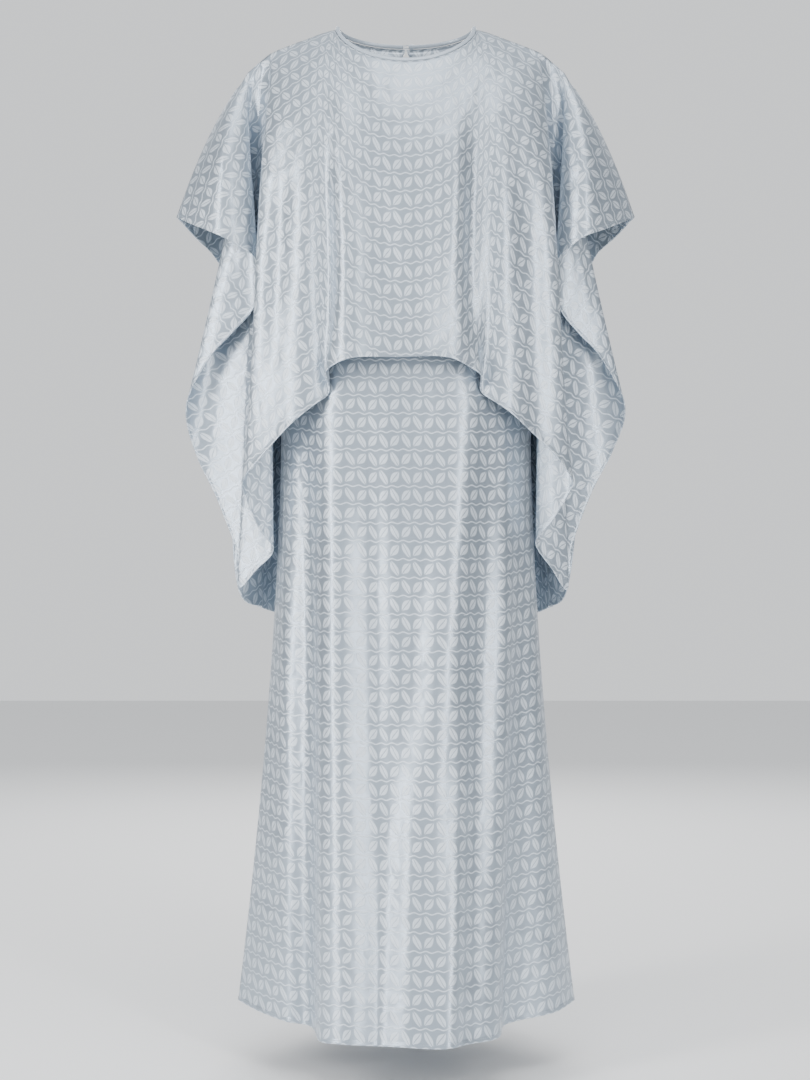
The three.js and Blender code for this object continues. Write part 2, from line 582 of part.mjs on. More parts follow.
// Neck binding: from one side of the keyhole round the front to the other
function neckBinding() {
  const inner = -(2 * CLOTH + LAYER_GAP + BINDING_MARGIN);
  const section = (frame) => {
    const corner = (up, out) => frame.point.clone().addScaledVector(frame.up, up).addScaledVector(frame.outward, out);
    const low = SEAM_GAP + BINDING_MARGIN;
    const high = low + BINDING_HEIGHT;
    return [corner(low, inner), corner(high, inner), corner(high, BINDING_MARGIN), corner(low, BINDING_MARGIN)];
  };
  const stations = Array.from({ length: NECK_STEPS - 1 }, (_, i) => (NECK_HALF_WIDTH * (i + 1)) / NECK_STEPS);
  const start = KEYHOLE[0].half + SEAM_GAP;
  const frames = [start, ...stations].map((top) => backNeck(-top));
  frames.push(joinFrames(frontNeck(-NECK_HALF_WIDTH), backNeck(-NECK_HALF_WIDTH)));
  for (const top of [...stations].reverse()) frames.push(frontNeck(-top));
  for (const top of [0, ...stations]) frames.push(frontNeck(top));
  frames.push(joinFrames(frontNeck(NECK_HALF_WIDTH), backNeck(NECK_HALF_WIDTH)));
  for (const top of [...stations].reverse()) frames.push(backNeck(top));
  frames.push(backNeck(start));
  return sweptRings(frames.map(section));
}

// Keyhole binding: a narrow band round the keyhole through both cloths
function keyholeBinding() {
  const outerLine = keyholeSide(SEAM_GAP, 1);
  const innerLine = keyholeSide(SEAM_GAP + KEYHOLE_BAND, 1);
  const ring = (index, sign) => {
    const out = outerLine[index];
    const into = innerLine[index];
    const far = centreDepth(capeBackGrid, out.z) + BINDING_MARGIN;
    const near = centreDepth(dressBackGrid, out.z) - CLOTH - BINDING_MARGIN;
    const place = (p, y) => new THREE.Vector3(sign * p.half, y, p.z);
    return [place(out, near), place(into, near), place(into, far), place(out, far)];
  };
  const right = outerLine.map((_, index) => ring(index, 1));
  const left = outerLine.map((_, index) => ring(index, -1));
  return sweptRings([...right, ...left.reverse()]);
}

function alongNormal(geometry, frame, lift) {
  const turn = new THREE.Quaternion().setFromUnitVectors(new THREE.Vector3(0, 1, 0), frame.outward);
  geometry.applyQuaternion(turn);
  const base = frame.point.clone().addScaledVector(frame.up, SEAM_GAP + BINDING_MARGIN + BINDING_HEIGHT / 2);
  base.addScaledVector(frame.outward, BINDING_MARGIN + lift);
  geometry.translate(base.x, base.y, base.z);
  return geometry;
}

function buttonShape() {
  const profile = [
    new THREE.Vector2(0, 0),
    new THREE.Vector2(BUTTON_SHANK_RADIUS, 0),
    new THREE.Vector2(BUTTON_SHANK_RADIUS, BUTTON_SHANK_HEIGHT),
  ];
  for (const row of BUTTON_HEAD) {
    const height = BUTTON_SHANK_HEIGHT + BUTTON_HEAD_HEIGHT * row.height;
    profile.push(new THREE.Vector2(BUTTON_HEAD_RADIUS * row.radius, height));
  }
  profile.push(new THREE.Vector2(0, BUTTON_SHANK_HEIGHT + BUTTON_HEAD_HEIGHT));
  return new THREE.LatheGeometry(profile, BUTTON_SIDES);
}

// Loop: a cord from the other end of the binding, round the button's shank and back
function buttonLoop(frame) {
  const bend = BUTTON_SHANK_RADIUS + SEAM_GAP + LOOP_RADIUS;
  const reach = BUTTON_OFFSET + LOOP_TAIL;
  const rise = SEAM_GAP + LOOP_RADIUS;
  const leg = (row, side) => new THREE.Vector3(-reach * row.reach, rise, side * bend * row.spread);
  const path = LOOP_LEG.map((row) => leg(row, 1));
  for (let turn = 90; turn >= -90; turn -= LOOP_TURN_STEP) {
    const angle = toRadians(turn);
    path.push(new THREE.Vector3(bend * Math.cos(angle), rise, bend * Math.sin(angle)));
  }
  path.push(...LOOP_LEG.map((row) => leg(row, -1)).reverse());
  const section = new THREE.Shape();
  section.absarc(0, 0, LOOP_RADIUS, 0, 2 * Math.PI, false);
  const sweep = { steps: LOOP_STEPS, extrudePath: new THREE.CatmullRomCurve3(path), curveSegments: LOOP_SIDES / 2 };
  return alongNormal(new THREE.ExtrudeGeometry(section, sweep), frame, 0);
}

const garment = new THREE.Group();
const buttonFrame = backNeck(BUTTON_OFFSET);
garment.add(makeMesh('cape_front', clothWall(capeFrontGrid, -1), satin));
garment.add(makeMesh('cape_back', fromManifold(toManifold(capeBackWall).subtract(keyhole)), satin));
garment.add(makeMesh('dress_front', clothWall(dressFrontGrid, -1), dressSatin));
garment.add(makeMesh('dress_back', fromManifold(toManifold(dressBackWall).subtract(keyhole)), dressSatin));
garment.add(makeMesh('neck_binding', neckBinding(), trim));
garment.add(makeMesh('keyhole_binding', keyholeBinding(), trim));
garment.add(makeMesh('button', alongNormal(buttonShape(), buttonFrame, SEAM_GAP), shell));
garment.add(makeMesh('button_loop', buttonLoop(buttonFrame), trim));

export default garment;
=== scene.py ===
"""Looks of the long satin kaftan dress with a cape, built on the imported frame, in metres."""
import math

import bmesh
import bpy
import numpy as np
from mathutils import Matrix, Vector


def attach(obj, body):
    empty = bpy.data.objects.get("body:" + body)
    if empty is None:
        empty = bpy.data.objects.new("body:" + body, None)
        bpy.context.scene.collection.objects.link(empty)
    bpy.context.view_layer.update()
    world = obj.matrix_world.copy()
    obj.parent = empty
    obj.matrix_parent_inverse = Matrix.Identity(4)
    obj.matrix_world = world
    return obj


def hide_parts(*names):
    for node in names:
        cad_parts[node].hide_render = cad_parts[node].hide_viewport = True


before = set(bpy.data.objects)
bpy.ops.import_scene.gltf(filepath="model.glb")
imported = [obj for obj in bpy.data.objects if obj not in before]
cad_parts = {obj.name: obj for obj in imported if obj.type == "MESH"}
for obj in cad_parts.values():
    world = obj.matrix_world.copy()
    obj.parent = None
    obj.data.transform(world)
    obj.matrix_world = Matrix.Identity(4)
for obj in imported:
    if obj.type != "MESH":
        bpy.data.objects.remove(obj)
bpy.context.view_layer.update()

bl_info = {
    "name": "Kaftan dress",
    "version": (1, 0, 0),
    "blender": (4, 5, 0),
    "location": "3D View > Sidebar > Dress",
    "description": "Builds the cloth, bindings, button and sewing of a long satin kaftan dress with a cape",
    "category": "Object",
}

MM = 0.001
FRONT = -1
BACK = 1

# Sizes shared with the solids, in millimetres
CLOTH = 1.2
SEAM_GAP = 0.3
LAYER_GAP = 1.1
NECK_HALF_WIDTH = 101
NECK_DEPTH = {FRONT: 70, BACK: 62}
NECK_DROP = {FRONT: 62, BACK: 12}
NECK_DROP_POWER = 1.2
DRESS_NECK_SETBACK = 2.5
NECK_SIDE_INSET = 2
NECK_SIDE_POWER = 9
STRAP_DROP = 10
STRAP_DROP_REACH = 7
STRAP_END = 144
UNDER_CAPE_GAP = 5
UNDER_CAPE_Z = -330
NECK_TURN = 38
TOP_FADE = 17
SKIRT_START = -560
SKIRT_FLARE = 1.65
BINDING_HEIGHT = 5.5
BINDING_MARGIN = 0.5
KEYHOLE_BAND = 1.2
BUTTON_OFFSET = 5
BUTTON_HEAD_RADIUS = 4.2
BUTTON_HEAD_HEIGHT = 2.6
BUTTON_SHANK_RADIUS = 1.5
BUTTON_SHANK_HEIGHT = 2.2
LOOP_RADIUS = 0.6
LOOP_TAIL = 6

SHOULDER_SEAM_X = (101, 156, 194, 226, 242)
SHOULDER_SEAM_Z = (0, -18, -34, -61, -84)

# Camera, in millimetres, and the photo's frame in pixels
CAMERA_DISTANCE = 2700
CAMERA_X = -1.4
CAMERA_Z = -729.3
PIXEL = 1.43
FRAME_HEIGHT = 1080


def fold(top, end, early, late, right=(0, 0)):
    """One fold line: where it hangs from, where it ends, its two bends, and what the right adds."""
    names = ("x", "y", "z", "early_x", "early_y", "early_z", "late_x", "late_y", "late_z")
    row = dict(zip(names, (*end, *early, *late)))
    return {"top": top, **row, "right_x": right[0], "right_z": right[1]}


# Fold lines of the cape from its centre to the sleeve's crest, as in the solids
CAPE_LINES = {
    FRONT: (
        fold(0, (0, -138, -481), (0, -50, 0), (0, -10, 0)),
        fold(34, (51, -137, -481), (0, -50, 0), (0, -10, 0), (-4, 1)),
        fold(58, (84, -133, -487), (5, -54, 4), (0, -9, 0), (-8, 0)),
        fold(79, (113, -122, -503), (10, -78, 30), (0, -8, 0), (-9, 0)),
        fold(101, (106, -100, -526), (14, -102, 62), (0, -6, 0), (-3, 2)),
        fold(122, (122, -103, -542), (16, -106, 54), (0, -8, 0), (-2, 3)),
        fold(150, (160, -101, -574), (14, -100, 42), (0, -10, 0), (-4, 8)),
        fold(172, (195, -90, -608), (13, -92, 26), (0, -12, 0), (2, 8)),
        fold(186, (227, -73, -646), (13, -82, 8), (-8, -14, 0), (4, 2)),
        fold(190, (225, -64, -668), (8, -74, 4), (-6, -12, 0), (4, 6)),
        fold(194, (207, -54, -712), (-4, -68, 0), (-2, -8, 0), (-2, 8)),
        fold(198, (187, -42, -744), (-14, -62, 0), (0, -5, 0), (-4, 10)),
        fold(201, (212, -32, -772), (-6, -36, 0), (0, -2, 0), (-6, 2)),
        fold(205, (237, -22, -797), (0, -8, 0), (0, 0, 0), (-8, -3)),
        fold(208, (239, -16, -752), (0, -2, 0), (0, 0, 0), (-6, 4)),
        fold(211, (270, -2, -672), (0, 2, 0), (0, 3, 0), (-6, 6)),
        fold(214, (300, 4, -608), (-4, 3, 0), (-3, 4, 0), (-4, 6)),
        fold(217, (313, -8, -540), (-12, 0, 0), (-8, 0, 0), (-1, 0)),
        fold(220, (281, -17, -474), (-9, -4, 0), (-6, -2, 0), (-4, 3)),
        fold(223, (247, -22, -437), (-4, -10, 0), (-2, -3, 0), (-2, 0)),
        fold(226, (217, -27, -404), (0, -15, 0), (0, -4, 0), (2, -1)),
        fold(229, (206, -36, -368), (0, -20, 0), (0, -6, 0), (3, 0)),
        fold(232, (213, -46, -332), (4, -26, 0), (0, -10, 0), (1, -2)),
        fold(235, (231, -57, -320), (6, -28, 4), (0, -12, 0), (0, 1)),
        fold(237.5, (252, -59, -308), (8, -28, 8), (2, -14, 2), (-2, 3)),
        fold(239.5, (278, -48, -295), (8, -24, 10), (4, -14, 5), (-2, 1)),
        fold(241, (304, -27, -282), (8, -14, 12), (6, -10, 8), (-1, 1)),
        fold(242, (328, -0.15, -268), (6, 0, 13), (5, 0, 9), (-1, 0)),
    ),
    BACK: (
        fold(0, (0, 148, -880), (0, 62, 0), (0, 0, 0)),
        fold(34, (58, 166, -882), (0, 58, 0), (0, 0, 0), (5, 2)),
        fold(60, (96, 144, -875), (0, 58, 0), (0, 0, 0), (4, 0)),
        fold(80, (134, 156, -864), (8, 92, 50), (0, 0, 0), (-4, 0)),
        fold(101, (156, 124, -850), (18, 108, 100), (0, 0, 0), (2, 2)),
        fold(140, (194, 128, -838), (14, 106, 60), (0, 4, 0), (3, 0)),
        fold(176, (222, 100, -828), (12, 88, 24), (0, 8, 0), (-3, 0)),
        fold(196, (212, 70, -827), (-4, 56, 4), (-4, 6, 0), (-2, 0)),
        fold(208, (242, 36, -804), (0, 40, 0), (0, 12, 0), (-9, 0)),
        fold(217, (255, 47, -680), (0, 36, 0), (0, 10, 0), (-5, 0)),
        fold(222, (266, 58, -565), (0, 34, 0), (0, 8, 0), (-3, 0)),
        fold(226, (268, 66, -470), (0, 32, 0), (0, 6, 0), (-2, 0)),
        fold(230, (265, 70, -398), (2, 30, 0), (0, 6, 0), (-2, 0)),
        fold(234, (267, 65, -345), (4, 29, 2), (0, 8, 0)),
        fold(237.5, (280, 50, -316), (7, 27, 7), (3, 12, 3), (-2, 2)),
        fold(240.5, (303, 27, -294), (8, 16, 11), (5, 10, 6), (-1, 1)),
        fold(242, (328, 0.15, -268), (6, 0, 13), (5, 0, 9), (-1, 0)),
    ),
}


def ring(z, width, front, back, square):
    """One level section of the dress above the skirt."""
    return {"z": z, "width": width, FRONT: front, BACK: back, "square": square}


DRESS_RINGS = (
    ring(0, 160, 42, 40, 2.4),
    ring(-110, 156, 78, 74, 1.9),
    ring(-250, 160, 102, 88, 1.3),
    ring(-400, 158, 100, 86, 1.15),
    ring(-560, 178, 118, 110, 1),
)


def hem_line(turn, end, right=(0, 0)):
    """One line of the dress: its turn about the body and its end on the hem."""
    return {"turn": turn, "x": end[0], "y": end[1], "z": end[2], "right_x": right[0], "right_y": right[1]}


DRESS_LINES = {
    FRONT: (
        hem_line(0, (0, -202, -1401)),
        hem_line(14, (42, -200, -1401), (2, -10)),
        hem_line(27, (78, -186, -1400), (2, -10)),
        hem_line(38, (110, -176, -1401), (-2, 4)),
        hem_line(46, (127, -148, -1401), (-8, 0)),
        hem_line(55, (137, -97, -1399), (-6, -8)),
        hem_line(66, (163, -78, -1397), (-4, -4)),
        hem_line(78, (206, -46, -1392), (4, -4)),
        hem_line(90, (240, -0.15, -1387), (1, 0)),
    ),
    BACK: (
        hem_line(0, (0, 174, -1396)),
        hem_line(15, (50, 190, -1397), (4, 4)),
        hem_line(28, (88, 162, -1396), (2, -3)),
        hem_line(41, (126, 168, -1396), (-4, 0)),
        hem_line(54, (148, 122, -1394), (-3, 4)),
        hem_line(66, (186, 112, -1392), (2, 0)),
        hem_line(79, (220, 56, -1389), (1, 2)),
        hem_line(90, (240, 0.15, -1387), (1, 0)),
    ),
}

ARMHOLE_TURN = (58, 59.5, 62.5, 70, 80, 90)
ARMHOLE_Z = (-20, -80, -140, -188, -211, -216)
KEYHOLE_HALF = (2.2, 2.2, 7, 8.5, 7, 3.2)
KEYHOLE_Z = (12, -13, -26, -42, -56, -63)


def crease(start, end, span, width, depth):
    """A soft ridge, or a trough where depth is below 0, between two places on a panel."""
    return {"start": start, "end": end, "from": span[0], "to": span[1], "width": width, "depth": depth}


# Creases, given on the cape by place (fold line number, below 0 on the left) and on the
# dress by turn. span is the share of the way down where each begins and ends.
CAPE_CREASES = {
    FRONT: (
        crease(-2.6, -1.7, (0.1, 1.1), 0.75, 6.5),
        crease(-1.0, -0.5, (0.15, 0.95), 0.6, -3.4),
        crease(0.2, 0.4, (0.4, 1.1), 0.6, 2.2),
        crease(1.7, 1.4, (0.1, 0.95), 0.7, 6.0),
        crease(2.9, 2.5, (0.2, 1.1), 0.5, -3.2),
        crease(-3.7, -3.2, (0.25, 1.1), 0.45, -2.8),
        crease(4.9, 5.6, (0.15, 1.1), 0.8, 5.0),
        crease(-5.2, -5.6, (0.15, 1.1), 0.8, 5.6),
        crease(-6.5, -6.8, (0.2, 0.95), 0.55, -3.2),
        crease(6.6, 6.7, (0.25, 1.05), 0.55, -3.4),
        crease(-24.6, -24.2, (0.15, 1.1), 0.8, 3.0),
        crease(24.4, 24.0, (0.2, 1.1), 0.8, 3.2),
        crease(-16.0, -15.6, (0.4, 1.1), 0.8, -2.0),
        crease(15.8, 15.5, (0.35, 1.1), 0.8, -2.2),
    ),
    BACK: (
        crease(-0.7, -1.0, (0.15, 1.1), 0.5, 6.5),
        crease(0.7, 0.5, (0.2, 1.1), 0.45, -4.5),
        crease(1.8, 2.0, (0.15, 1.1), 0.5, 6.0),
        crease(-2.5, -2.2, (0.15, 1.1), 0.45, -4.4),
        crease(-4.0, -3.5, (0.2, 1.1), 0.5, 6.4),
        crease(4.5, 4.2, (0.15, 1.1), 0.5, 6.0),
        crease(5.8, 5.6, (0.3, 1.1), 0.4, -4.0),
        crease(-5.6, -5.8, (0.25, 1.1), 0.4, -4.0),
    ),
}
DRESS_CREASES = {
    FRONT: (
        crease(-36, -26, (0.2, 1.1), 9.5, 9.0),
        crease(-17, -12, (0.25, 1.1), 8.0, -6.5),
        crease(-3, 4, (0.45, 1.1), 6.5, 2.6),
        crease(33, 4, (0.2, 0.98), 11.0, 9.5),
        crease(12, -17, (0.35, 1.1), 7.0, -3.8),
        crease(40, 27, (0.4, 1.1), 8.5, -5.4),
        crease(30, 17, (0.55, 1.1), 6.0, 4.2),
        crease(52, 47, (0.3, 1.1), 7.5, 5.0),
        crease(-53, -48, (0.25, 1.1), 7.5, -5.0),
        crease(-68, -66, (0.3, 1.1), 8.0, 4.4),
        crease(69, 65, (0.35, 1.1), 8.0, -4.6),
    ),
    BACK: (
        crease(-9, -6, (0.2, 1.1), 7.5, -6.0),
        crease(7, 10, (0.22, 1.1), 7.0, 6.4),
        crease(-26, -22, (0.2, 1.1), 8.0, 7.0),
        crease(27, 32, (0.25, 1.1), 7.5, -5.6),
        crease(-46, -41, (0.3, 1.1), 7.5, -5.2),
        crease(48, 44, (0.25, 1.1), 8.0, 6.8),
        crease(-64, -61, (0.35, 1.1), 7.0, 5.0),
        crease(65, 68, (0.3, 1.1), 7.5, -5.0),
    ),
}

# Distance from the edge and thickness added, across a narrow turned hem, in millimetres
HEM_PROFILE = (
    (7.5, 0.0),
    (6.2, 0.0),
    (5.6, 0.22),
    (4.6, 0.1),
    (3.6, 0.32),
    (1.6, 0.36),
    (0.4, 0.3),
    (0.0, 0.12),
)
STITCH_FROM_EDGE = 4.6
STITCH_LIFT = 0.05
NECK_STITCH_RISE = 1.1
BINDING_CORNER = 0.9
KEYHOLE_CUT = (5, 210)

# The woven figure, in millimetres and degrees
LEAF_HALF_LENGTH = 10.5
LEAF_HALF_WIDTH = 4.6
LEAF_RIB = 0.35
LEAF_LEAN = 58
LEAF_EDGE = (1.12, 0.92)
STEM_WAVE = 0.045
STEM_HALF_WIDTH = 0.7

# Where creases fade, as shares of their length, in columns from a side edge, and in millimetres
CREASE_FADE = 0.45
CREASE_EDGE_FADE = 1.5
CREASE_TOP_FADE = 0.12
NECK_EASE_REACH = 42
NECK_EASE_START = 0.2
NECK_EASE_END = 0.45
NECK_EASE_PASSES = 220
UNDER_CAPE_FADE = 130

# Rows of each kind of panel, and how they crowd towards its top
PANEL_ROWS = {"cape": 96, "dress": 150}
ROW_POWER = {"cape": 1.12, "dress": 1.1}

# How finely a panel is sampled to measure it, and the cape to keep the dress under it
WIDTH_SAMPLES = 9
LENGTH_SAMPLES = 30
CAPE_SAMPLES = 14
CAPE_SAMPLE_POWER = 1.25
CAPE_SAMPLES_A_LINE = 6
NECK_SAMPLES = {FRONT: 121, BACK: 46}
FAN_SHARE = 0.7
HEM_STRETCH = (0.4, 2.5)
NECK_FRAME_PASSES = 14
BUTTON_SIDES = 40
LOOP_SIDES = 10
LOOP_STEPS = 90

# Too small to divide by, and the slack allowed when places are compared
NOTHING = 1e-9
SLACK = 1e-6

# The stage, in metres: each light's place, its size and its power in watts
FLOOR_Z = -1.47
AIM = (0, 0, -0.65)
LIGHTS = (
    ("left_panel", (-2.1, -1.5, -0.2), (0.4, 2.4), 62),
    ("right_panel", (1.5, -2.4, -0.3), (0.35, 2.4), 44),
    ("above", (0.2, -1.0, 1.6), (1.6, 1.0), 20),
    ("behind", (0.0, 2.6, 0.6), (2.4, 1.6), 60),
)


def smooth(values, places):
    """Values between a table's rows, as a smooth curve through them."""
    values = np.asarray(values, float)
    last = len(values) - 1
    index = np.clip(np.floor(places).astype(int), 0, last - 1)
    share = places - index
    at = [values[np.clip(index + k, 0, last)] for k in (-1, 0, 1, 2)]
    square = (2 * at[0] - 5 * at[1] + 4 * at[2] - at[3]) * share**2
    cube = (3 * at[1] - at[0] - 3 * at[2] + at[3]) * share**3
    return 0.5 * (2 * at[1] + (at[2] - at[0]) * share + square + cube)


def straight(values, places):
    """Values between a table's rows, as straight lines."""
    return np.interp(places, np.arange(len(values)), np.asarray(values, float))


def place_of(values, wanted):
    """Places in a rising or falling table where its value is the one wanted."""
    values = np.asarray(values, float)
    order = slice(None, None, -1) if values[0] > values[-1] else slice(None)
    return np.interp(wanted, values[order], np.arange(len(values))[order])


def both_halves(lines, sign_keys):
    """Columns of a table of lines for the whole panel, from the left end to the right end."""
    rows = []
    for sign in (-1, 1):
        half = []
        for line in lines:
            row = {key: value for key, value in line.items() if not key.startswith("right")}
            if sign > 0:
                for key in ("x", "y", "z"):
                    row[key] += line.get("right_" + key, 0)
            for key in sign_keys:
                row[key] *= sign
            half.append(row)
        rows += half[::-1] if sign < 0 else half[1:]
    return {key: np.array([row[key] for row in rows], float) for key in rows[0]}


def neck_points(top, side):
    """Points on the neckline, by distance from its centre."""
    turn = np.radians(90 * np.abs(top) / NECK_HALF_WIDTH)
    level = np.maximum(np.cos(turn), 0)
    x = np.sign(top) * NECK_HALF_WIDTH * np.sin(turn)
    return np.stack([x, side * NECK_DEPTH[side] * level, -NECK_DROP[side] * level**NECK_DROP_POWER], -1)


def top_points(top, side):
    """Points on a cape panel's top edge: the neckline, then the shoulder seam."""
    reach = np.abs(top)
    z = smooth(SHOULDER_SEAM_Z, place_of(SHOULDER_SEAM_X, reach))
    seam = np.stack([np.sign(top) * reach, np.full_like(z, side * SEAM_GAP / 2), z], -1)
    inner = neck_points(np.clip(top, -NECK_HALF_WIDTH, NECK_HALF_WIDTH), side)
    return np.where((reach <= NECK_HALF_WIDTH)[:, None], inner, seam)


def cape_points(side, places, shares):
    """Points of a cape panel, a row for each place and a column for each share of the way down."""
    signed = ("top", "x", "early_x", "late_x")
    rows = both_halves(CAPE_LINES[side], signed)
    start = top_points(straight(rows["top"], places), side)[:, None]
    vector = {
        key: np.stack([smooth(rows[key + axis], places) for axis in ("x", "y", "z")], -1)[:, None]
        for key in ("", "early_", "late_")
    }
    t = shares[..., None]
    bend = vector["early_"] * (3 * t * (1 - t) ** 2) + vector["late_"] * (3 * t**2 * (1 - t))
    return start * (1 - t) + vector[""] * t + bend


def ring_points(turn, z, side):
    """Points of the dress above the skirt, by turn and height."""
    place = place_of([row["z"] for row in DRESS_RINGS], z)
    depth = smooth([row[side] for row in DRESS_RINGS], place)
    width = smooth([row["width"] for row in DRESS_RINGS], place)
    square = smooth([row["square"] for row in DRESS_RINGS], place)
    share = np.maximum(np.cos(np.radians(turn)), 0) ** square
    return np.stack([width * np.sin(np.radians(turn)), side * depth * share, z], -1)


def neck_frames(top, side):
    """Point, way up and way outward at places on the neckline."""
    rows = both_halves(CAPE_LINES[side], ("top", "x", "early_x", "late_x"))
    limit = NECK_HALF_WIDTH
    point = neck_points(top, side)
    across = neck_points(np.minimum(top + 1, limit), side) - neck_points(np.maximum(top - 1, -limit), side)
    across /= np.linalg.norm(across, axis=1)[:, None]
    places = place_of(rows["top"], top)
    up = point - cape_points(side, places, np.full((len(places), 1), 0.02))[:, 0]
    up -= across * np.sum(up * across, axis=1)[:, None]
    up /= np.linalg.norm(up, axis=1)[:, None]
    outward = np.cross(across, up) if side == FRONT else np.cross(up, across)
    return point, up, outward / np.linalg.norm(outward, axis=1)[:, None]


def dress_tops(turn, side):
    """Top edge of the dress: the neckline, the strap, then the armhole."""
    reach = np.abs(turn)
    share = np.clip(turn / NECK_TURN, -1, 1)
    point, up, outward = neck_frames(share * NECK_HALF_WIDTH, side)
    neck = point - outward * (CLOTH + LAYER_GAP) - up * DRESS_NECK_SETBACK
    neck[:, 0] -= NECK_SIDE_INSET * share**NECK_SIDE_POWER
    along = np.clip((reach - NECK_TURN) / (ARMHOLE_TURN[0] - NECK_TURN), 0, 1)
    across = NECK_HALF_WIDTH + (STRAP_END - NECK_HALF_WIDTH) * along
    strap = top_points(across, side)
    drop = STRAP_DROP * np.clip((across - NECK_HALF_WIDTH) / STRAP_DROP_REACH, 0, 1)
    strap[:, 2] -= CLOTH + LAYER_GAP + drop
    strap[:, 0] *= np.sign(turn)
    level = smooth(ARMHOLE_Z, place_of(ARMHOLE_TURN, reach))
    arm = ring_points(turn, level, side)
    near = np.where((reach <= NECK_TURN)[:, None], neck, strap)
    return np.where((reach <= ARMHOLE_TURN[0])[:, None], near, arm)


def lowest_depth(points, x, z):
    """Least depth of a panel's layers at each x, z, or no limit clear of it."""
    a, b = points[:-1, :-1], points[:-1, 1:]
    c, d = points[1:, 1:], points[1:, :-1]
    corners = [np.concatenate([p.reshape(-1, 3), q.reshape(-1, 3)]) for p, q in ((a, b), (b, c), (d, d))]
    (ax, ay, az), (bx, by, bz), (cx, cy, cz) = (corner.T for corner in corners)

    def side_of(px, pz, qx, qz):
        return (qx - px) * (z[:, None] - pz) - (qz - pz) * (x[:, None] - px)

    parts = (side_of(bx, bz, cx, cz), side_of(cx, cz, ax, az), side_of(ax, az, bx, bz))
    whole = sum(parts)
    flat = np.abs(whole) < NOTHING
    whole[flat] = 1
    weights = [part / whole for part in parts]
    inside = (weights[0] >= 0) & (weights[1] >= 0) & (weights[2] >= 0) & ~flat
    depth = np.abs(ay * weights[0] + by * weights[1] + cy * weights[2])
    return np.where(inside, depth, np.inf).min(axis=1)


def dress_points(side, places, shares):
    """Points of a dress panel, a row for each place and a column for each share of the way down."""
    rows = both_halves(DRESS_LINES[side], ("turn", "x"))
    turn = straight(rows["turn"], places)
    hem = np.stack([smooth(rows[axis], places) for axis in ("x", "y", "z")], -1)
    top = dress_tops(turn, side)
    lift = top - ring_points(turn, top[:, 2], side)
    down = np.linspace(0, 1, CAPE_SAMPLES) ** CAPE_SAMPLE_POWER
    half = len(CAPE_LINES[side])
    columns_used = CAPE_SAMPLES_A_LINE * half
    cape = cape_points(side, np.linspace(0, 2 * half - 2, columns_used), np.tile(down, (columns_used, 1)))
    columns = []
    for j in range(shares.shape[1]):
        share = shares[:, j]
        z = top[:, 2] + (hem[:, 2] - top[:, 2]) * share
        point = ring_points(turn, np.maximum(z, SKIRT_START), side)
        flare = np.clip((z - SKIRT_START) / (hem[:, 2] - SKIRT_START), 0, 1) ** SKIRT_FLARE
        point = point + (hem - point) * flare[:, None]
        point[:, 2] = z
        point += lift * ((1 - share) ** TOP_FADE)[:, None]
        high = z > UNDER_CAPE_Z
        if j > 0 and high.any():
            limit = lowest_depth(cape, point[high, 0], point[high, 2]) - CLOTH - UNDER_CAPE_GAP
            point[high, 1] = side * np.minimum(np.abs(point[high, 1]), np.maximum(limit, SEAM_GAP))
        columns.append(point)
    return np.stack(columns, 1)


def grid_normals(points, side):
    """Outward directions at the points of a panel."""
    across = np.gradient(points, axis=0)
    down = np.gradient(points, axis=1)
    normals = np.cross(down, across) if side == FRONT else np.cross(across, down)
    size = np.linalg.norm(normals, axis=2)[..., None]
    return normals / np.maximum(size, NOTHING)


def ease(values):
    """0 to 1, smooth at both ends."""
    values = np.clip(values, 0, 1)
    return values * values * (3 - 2 * values)


def crease_depths(creases, where, shares):
    """How far the creases lift each point off its panel. One that ends short of the hem fades out."""
    lift = np.zeros(shares.shape)
    for row in creases:
        span = np.clip((shares - row["from"]) / (row["to"] - row["from"]), 0, 1)
        centre = row["start"] + (row["end"] - row["start"]) * span
        reach = np.exp(-(((where[:, None] - centre) / row["width"]) ** 2))
        fade = ease(span / CREASE_FADE)
        if row["to"] <= 1:
            fade = fade * ease((1 - span) / CREASE_FADE)
        lift += row["depth"] * reach * fade
    return lift


def gap_places(points, spacing):
    """Places for a panel's columns, close enough that they lie the spacing apart."""
    widths = np.linalg.norm(np.diff(points, axis=0), axis=2).max(axis=1)
    places = [0.0]
    for index, width in enumerate(widths):
        count = max(3, math.ceil(width / spacing))
        places += [index + step / count for step in range(1, count + 1)]
    return np.array(places)


def row_shares(lengths, rows, power):
    """Shares of the way down for the rows of each column, the last ones across the hem."""
    edge = 1 - np.array([distance for distance, _ in HEM_PROFILE]) / lengths[:, None]
    body = np.linspace(0, 1, rows) ** power
    return np.concatenate([body[None, :-1] * edge[:, :1], edge], axis=1)


def even_rows(points, shares):
    """Shares that put the hem's rows at their true distances from the edge."""
    steps = np.linalg.norm(np.diff(points, axis=1), axis=2)
    last = steps[:, -len(HEM_PROFILE) + 1 :].sum(axis=1)
    wanted = HEM_PROFILE[0][0]
    body = shares.copy()
    count = len(HEM_PROFILE)
    scale = np.clip(wanted / np.maximum(last, SLACK), *HEM_STRETCH)[:, None]
    start = shares[:, -count : -count + 1]
    body[:, -count:] = 1 - (1 - shares[:, -count:]) * scale
    body[:, :-count] = shares[:, :-count] / start * body[:, -count : -count + 1]
    return body


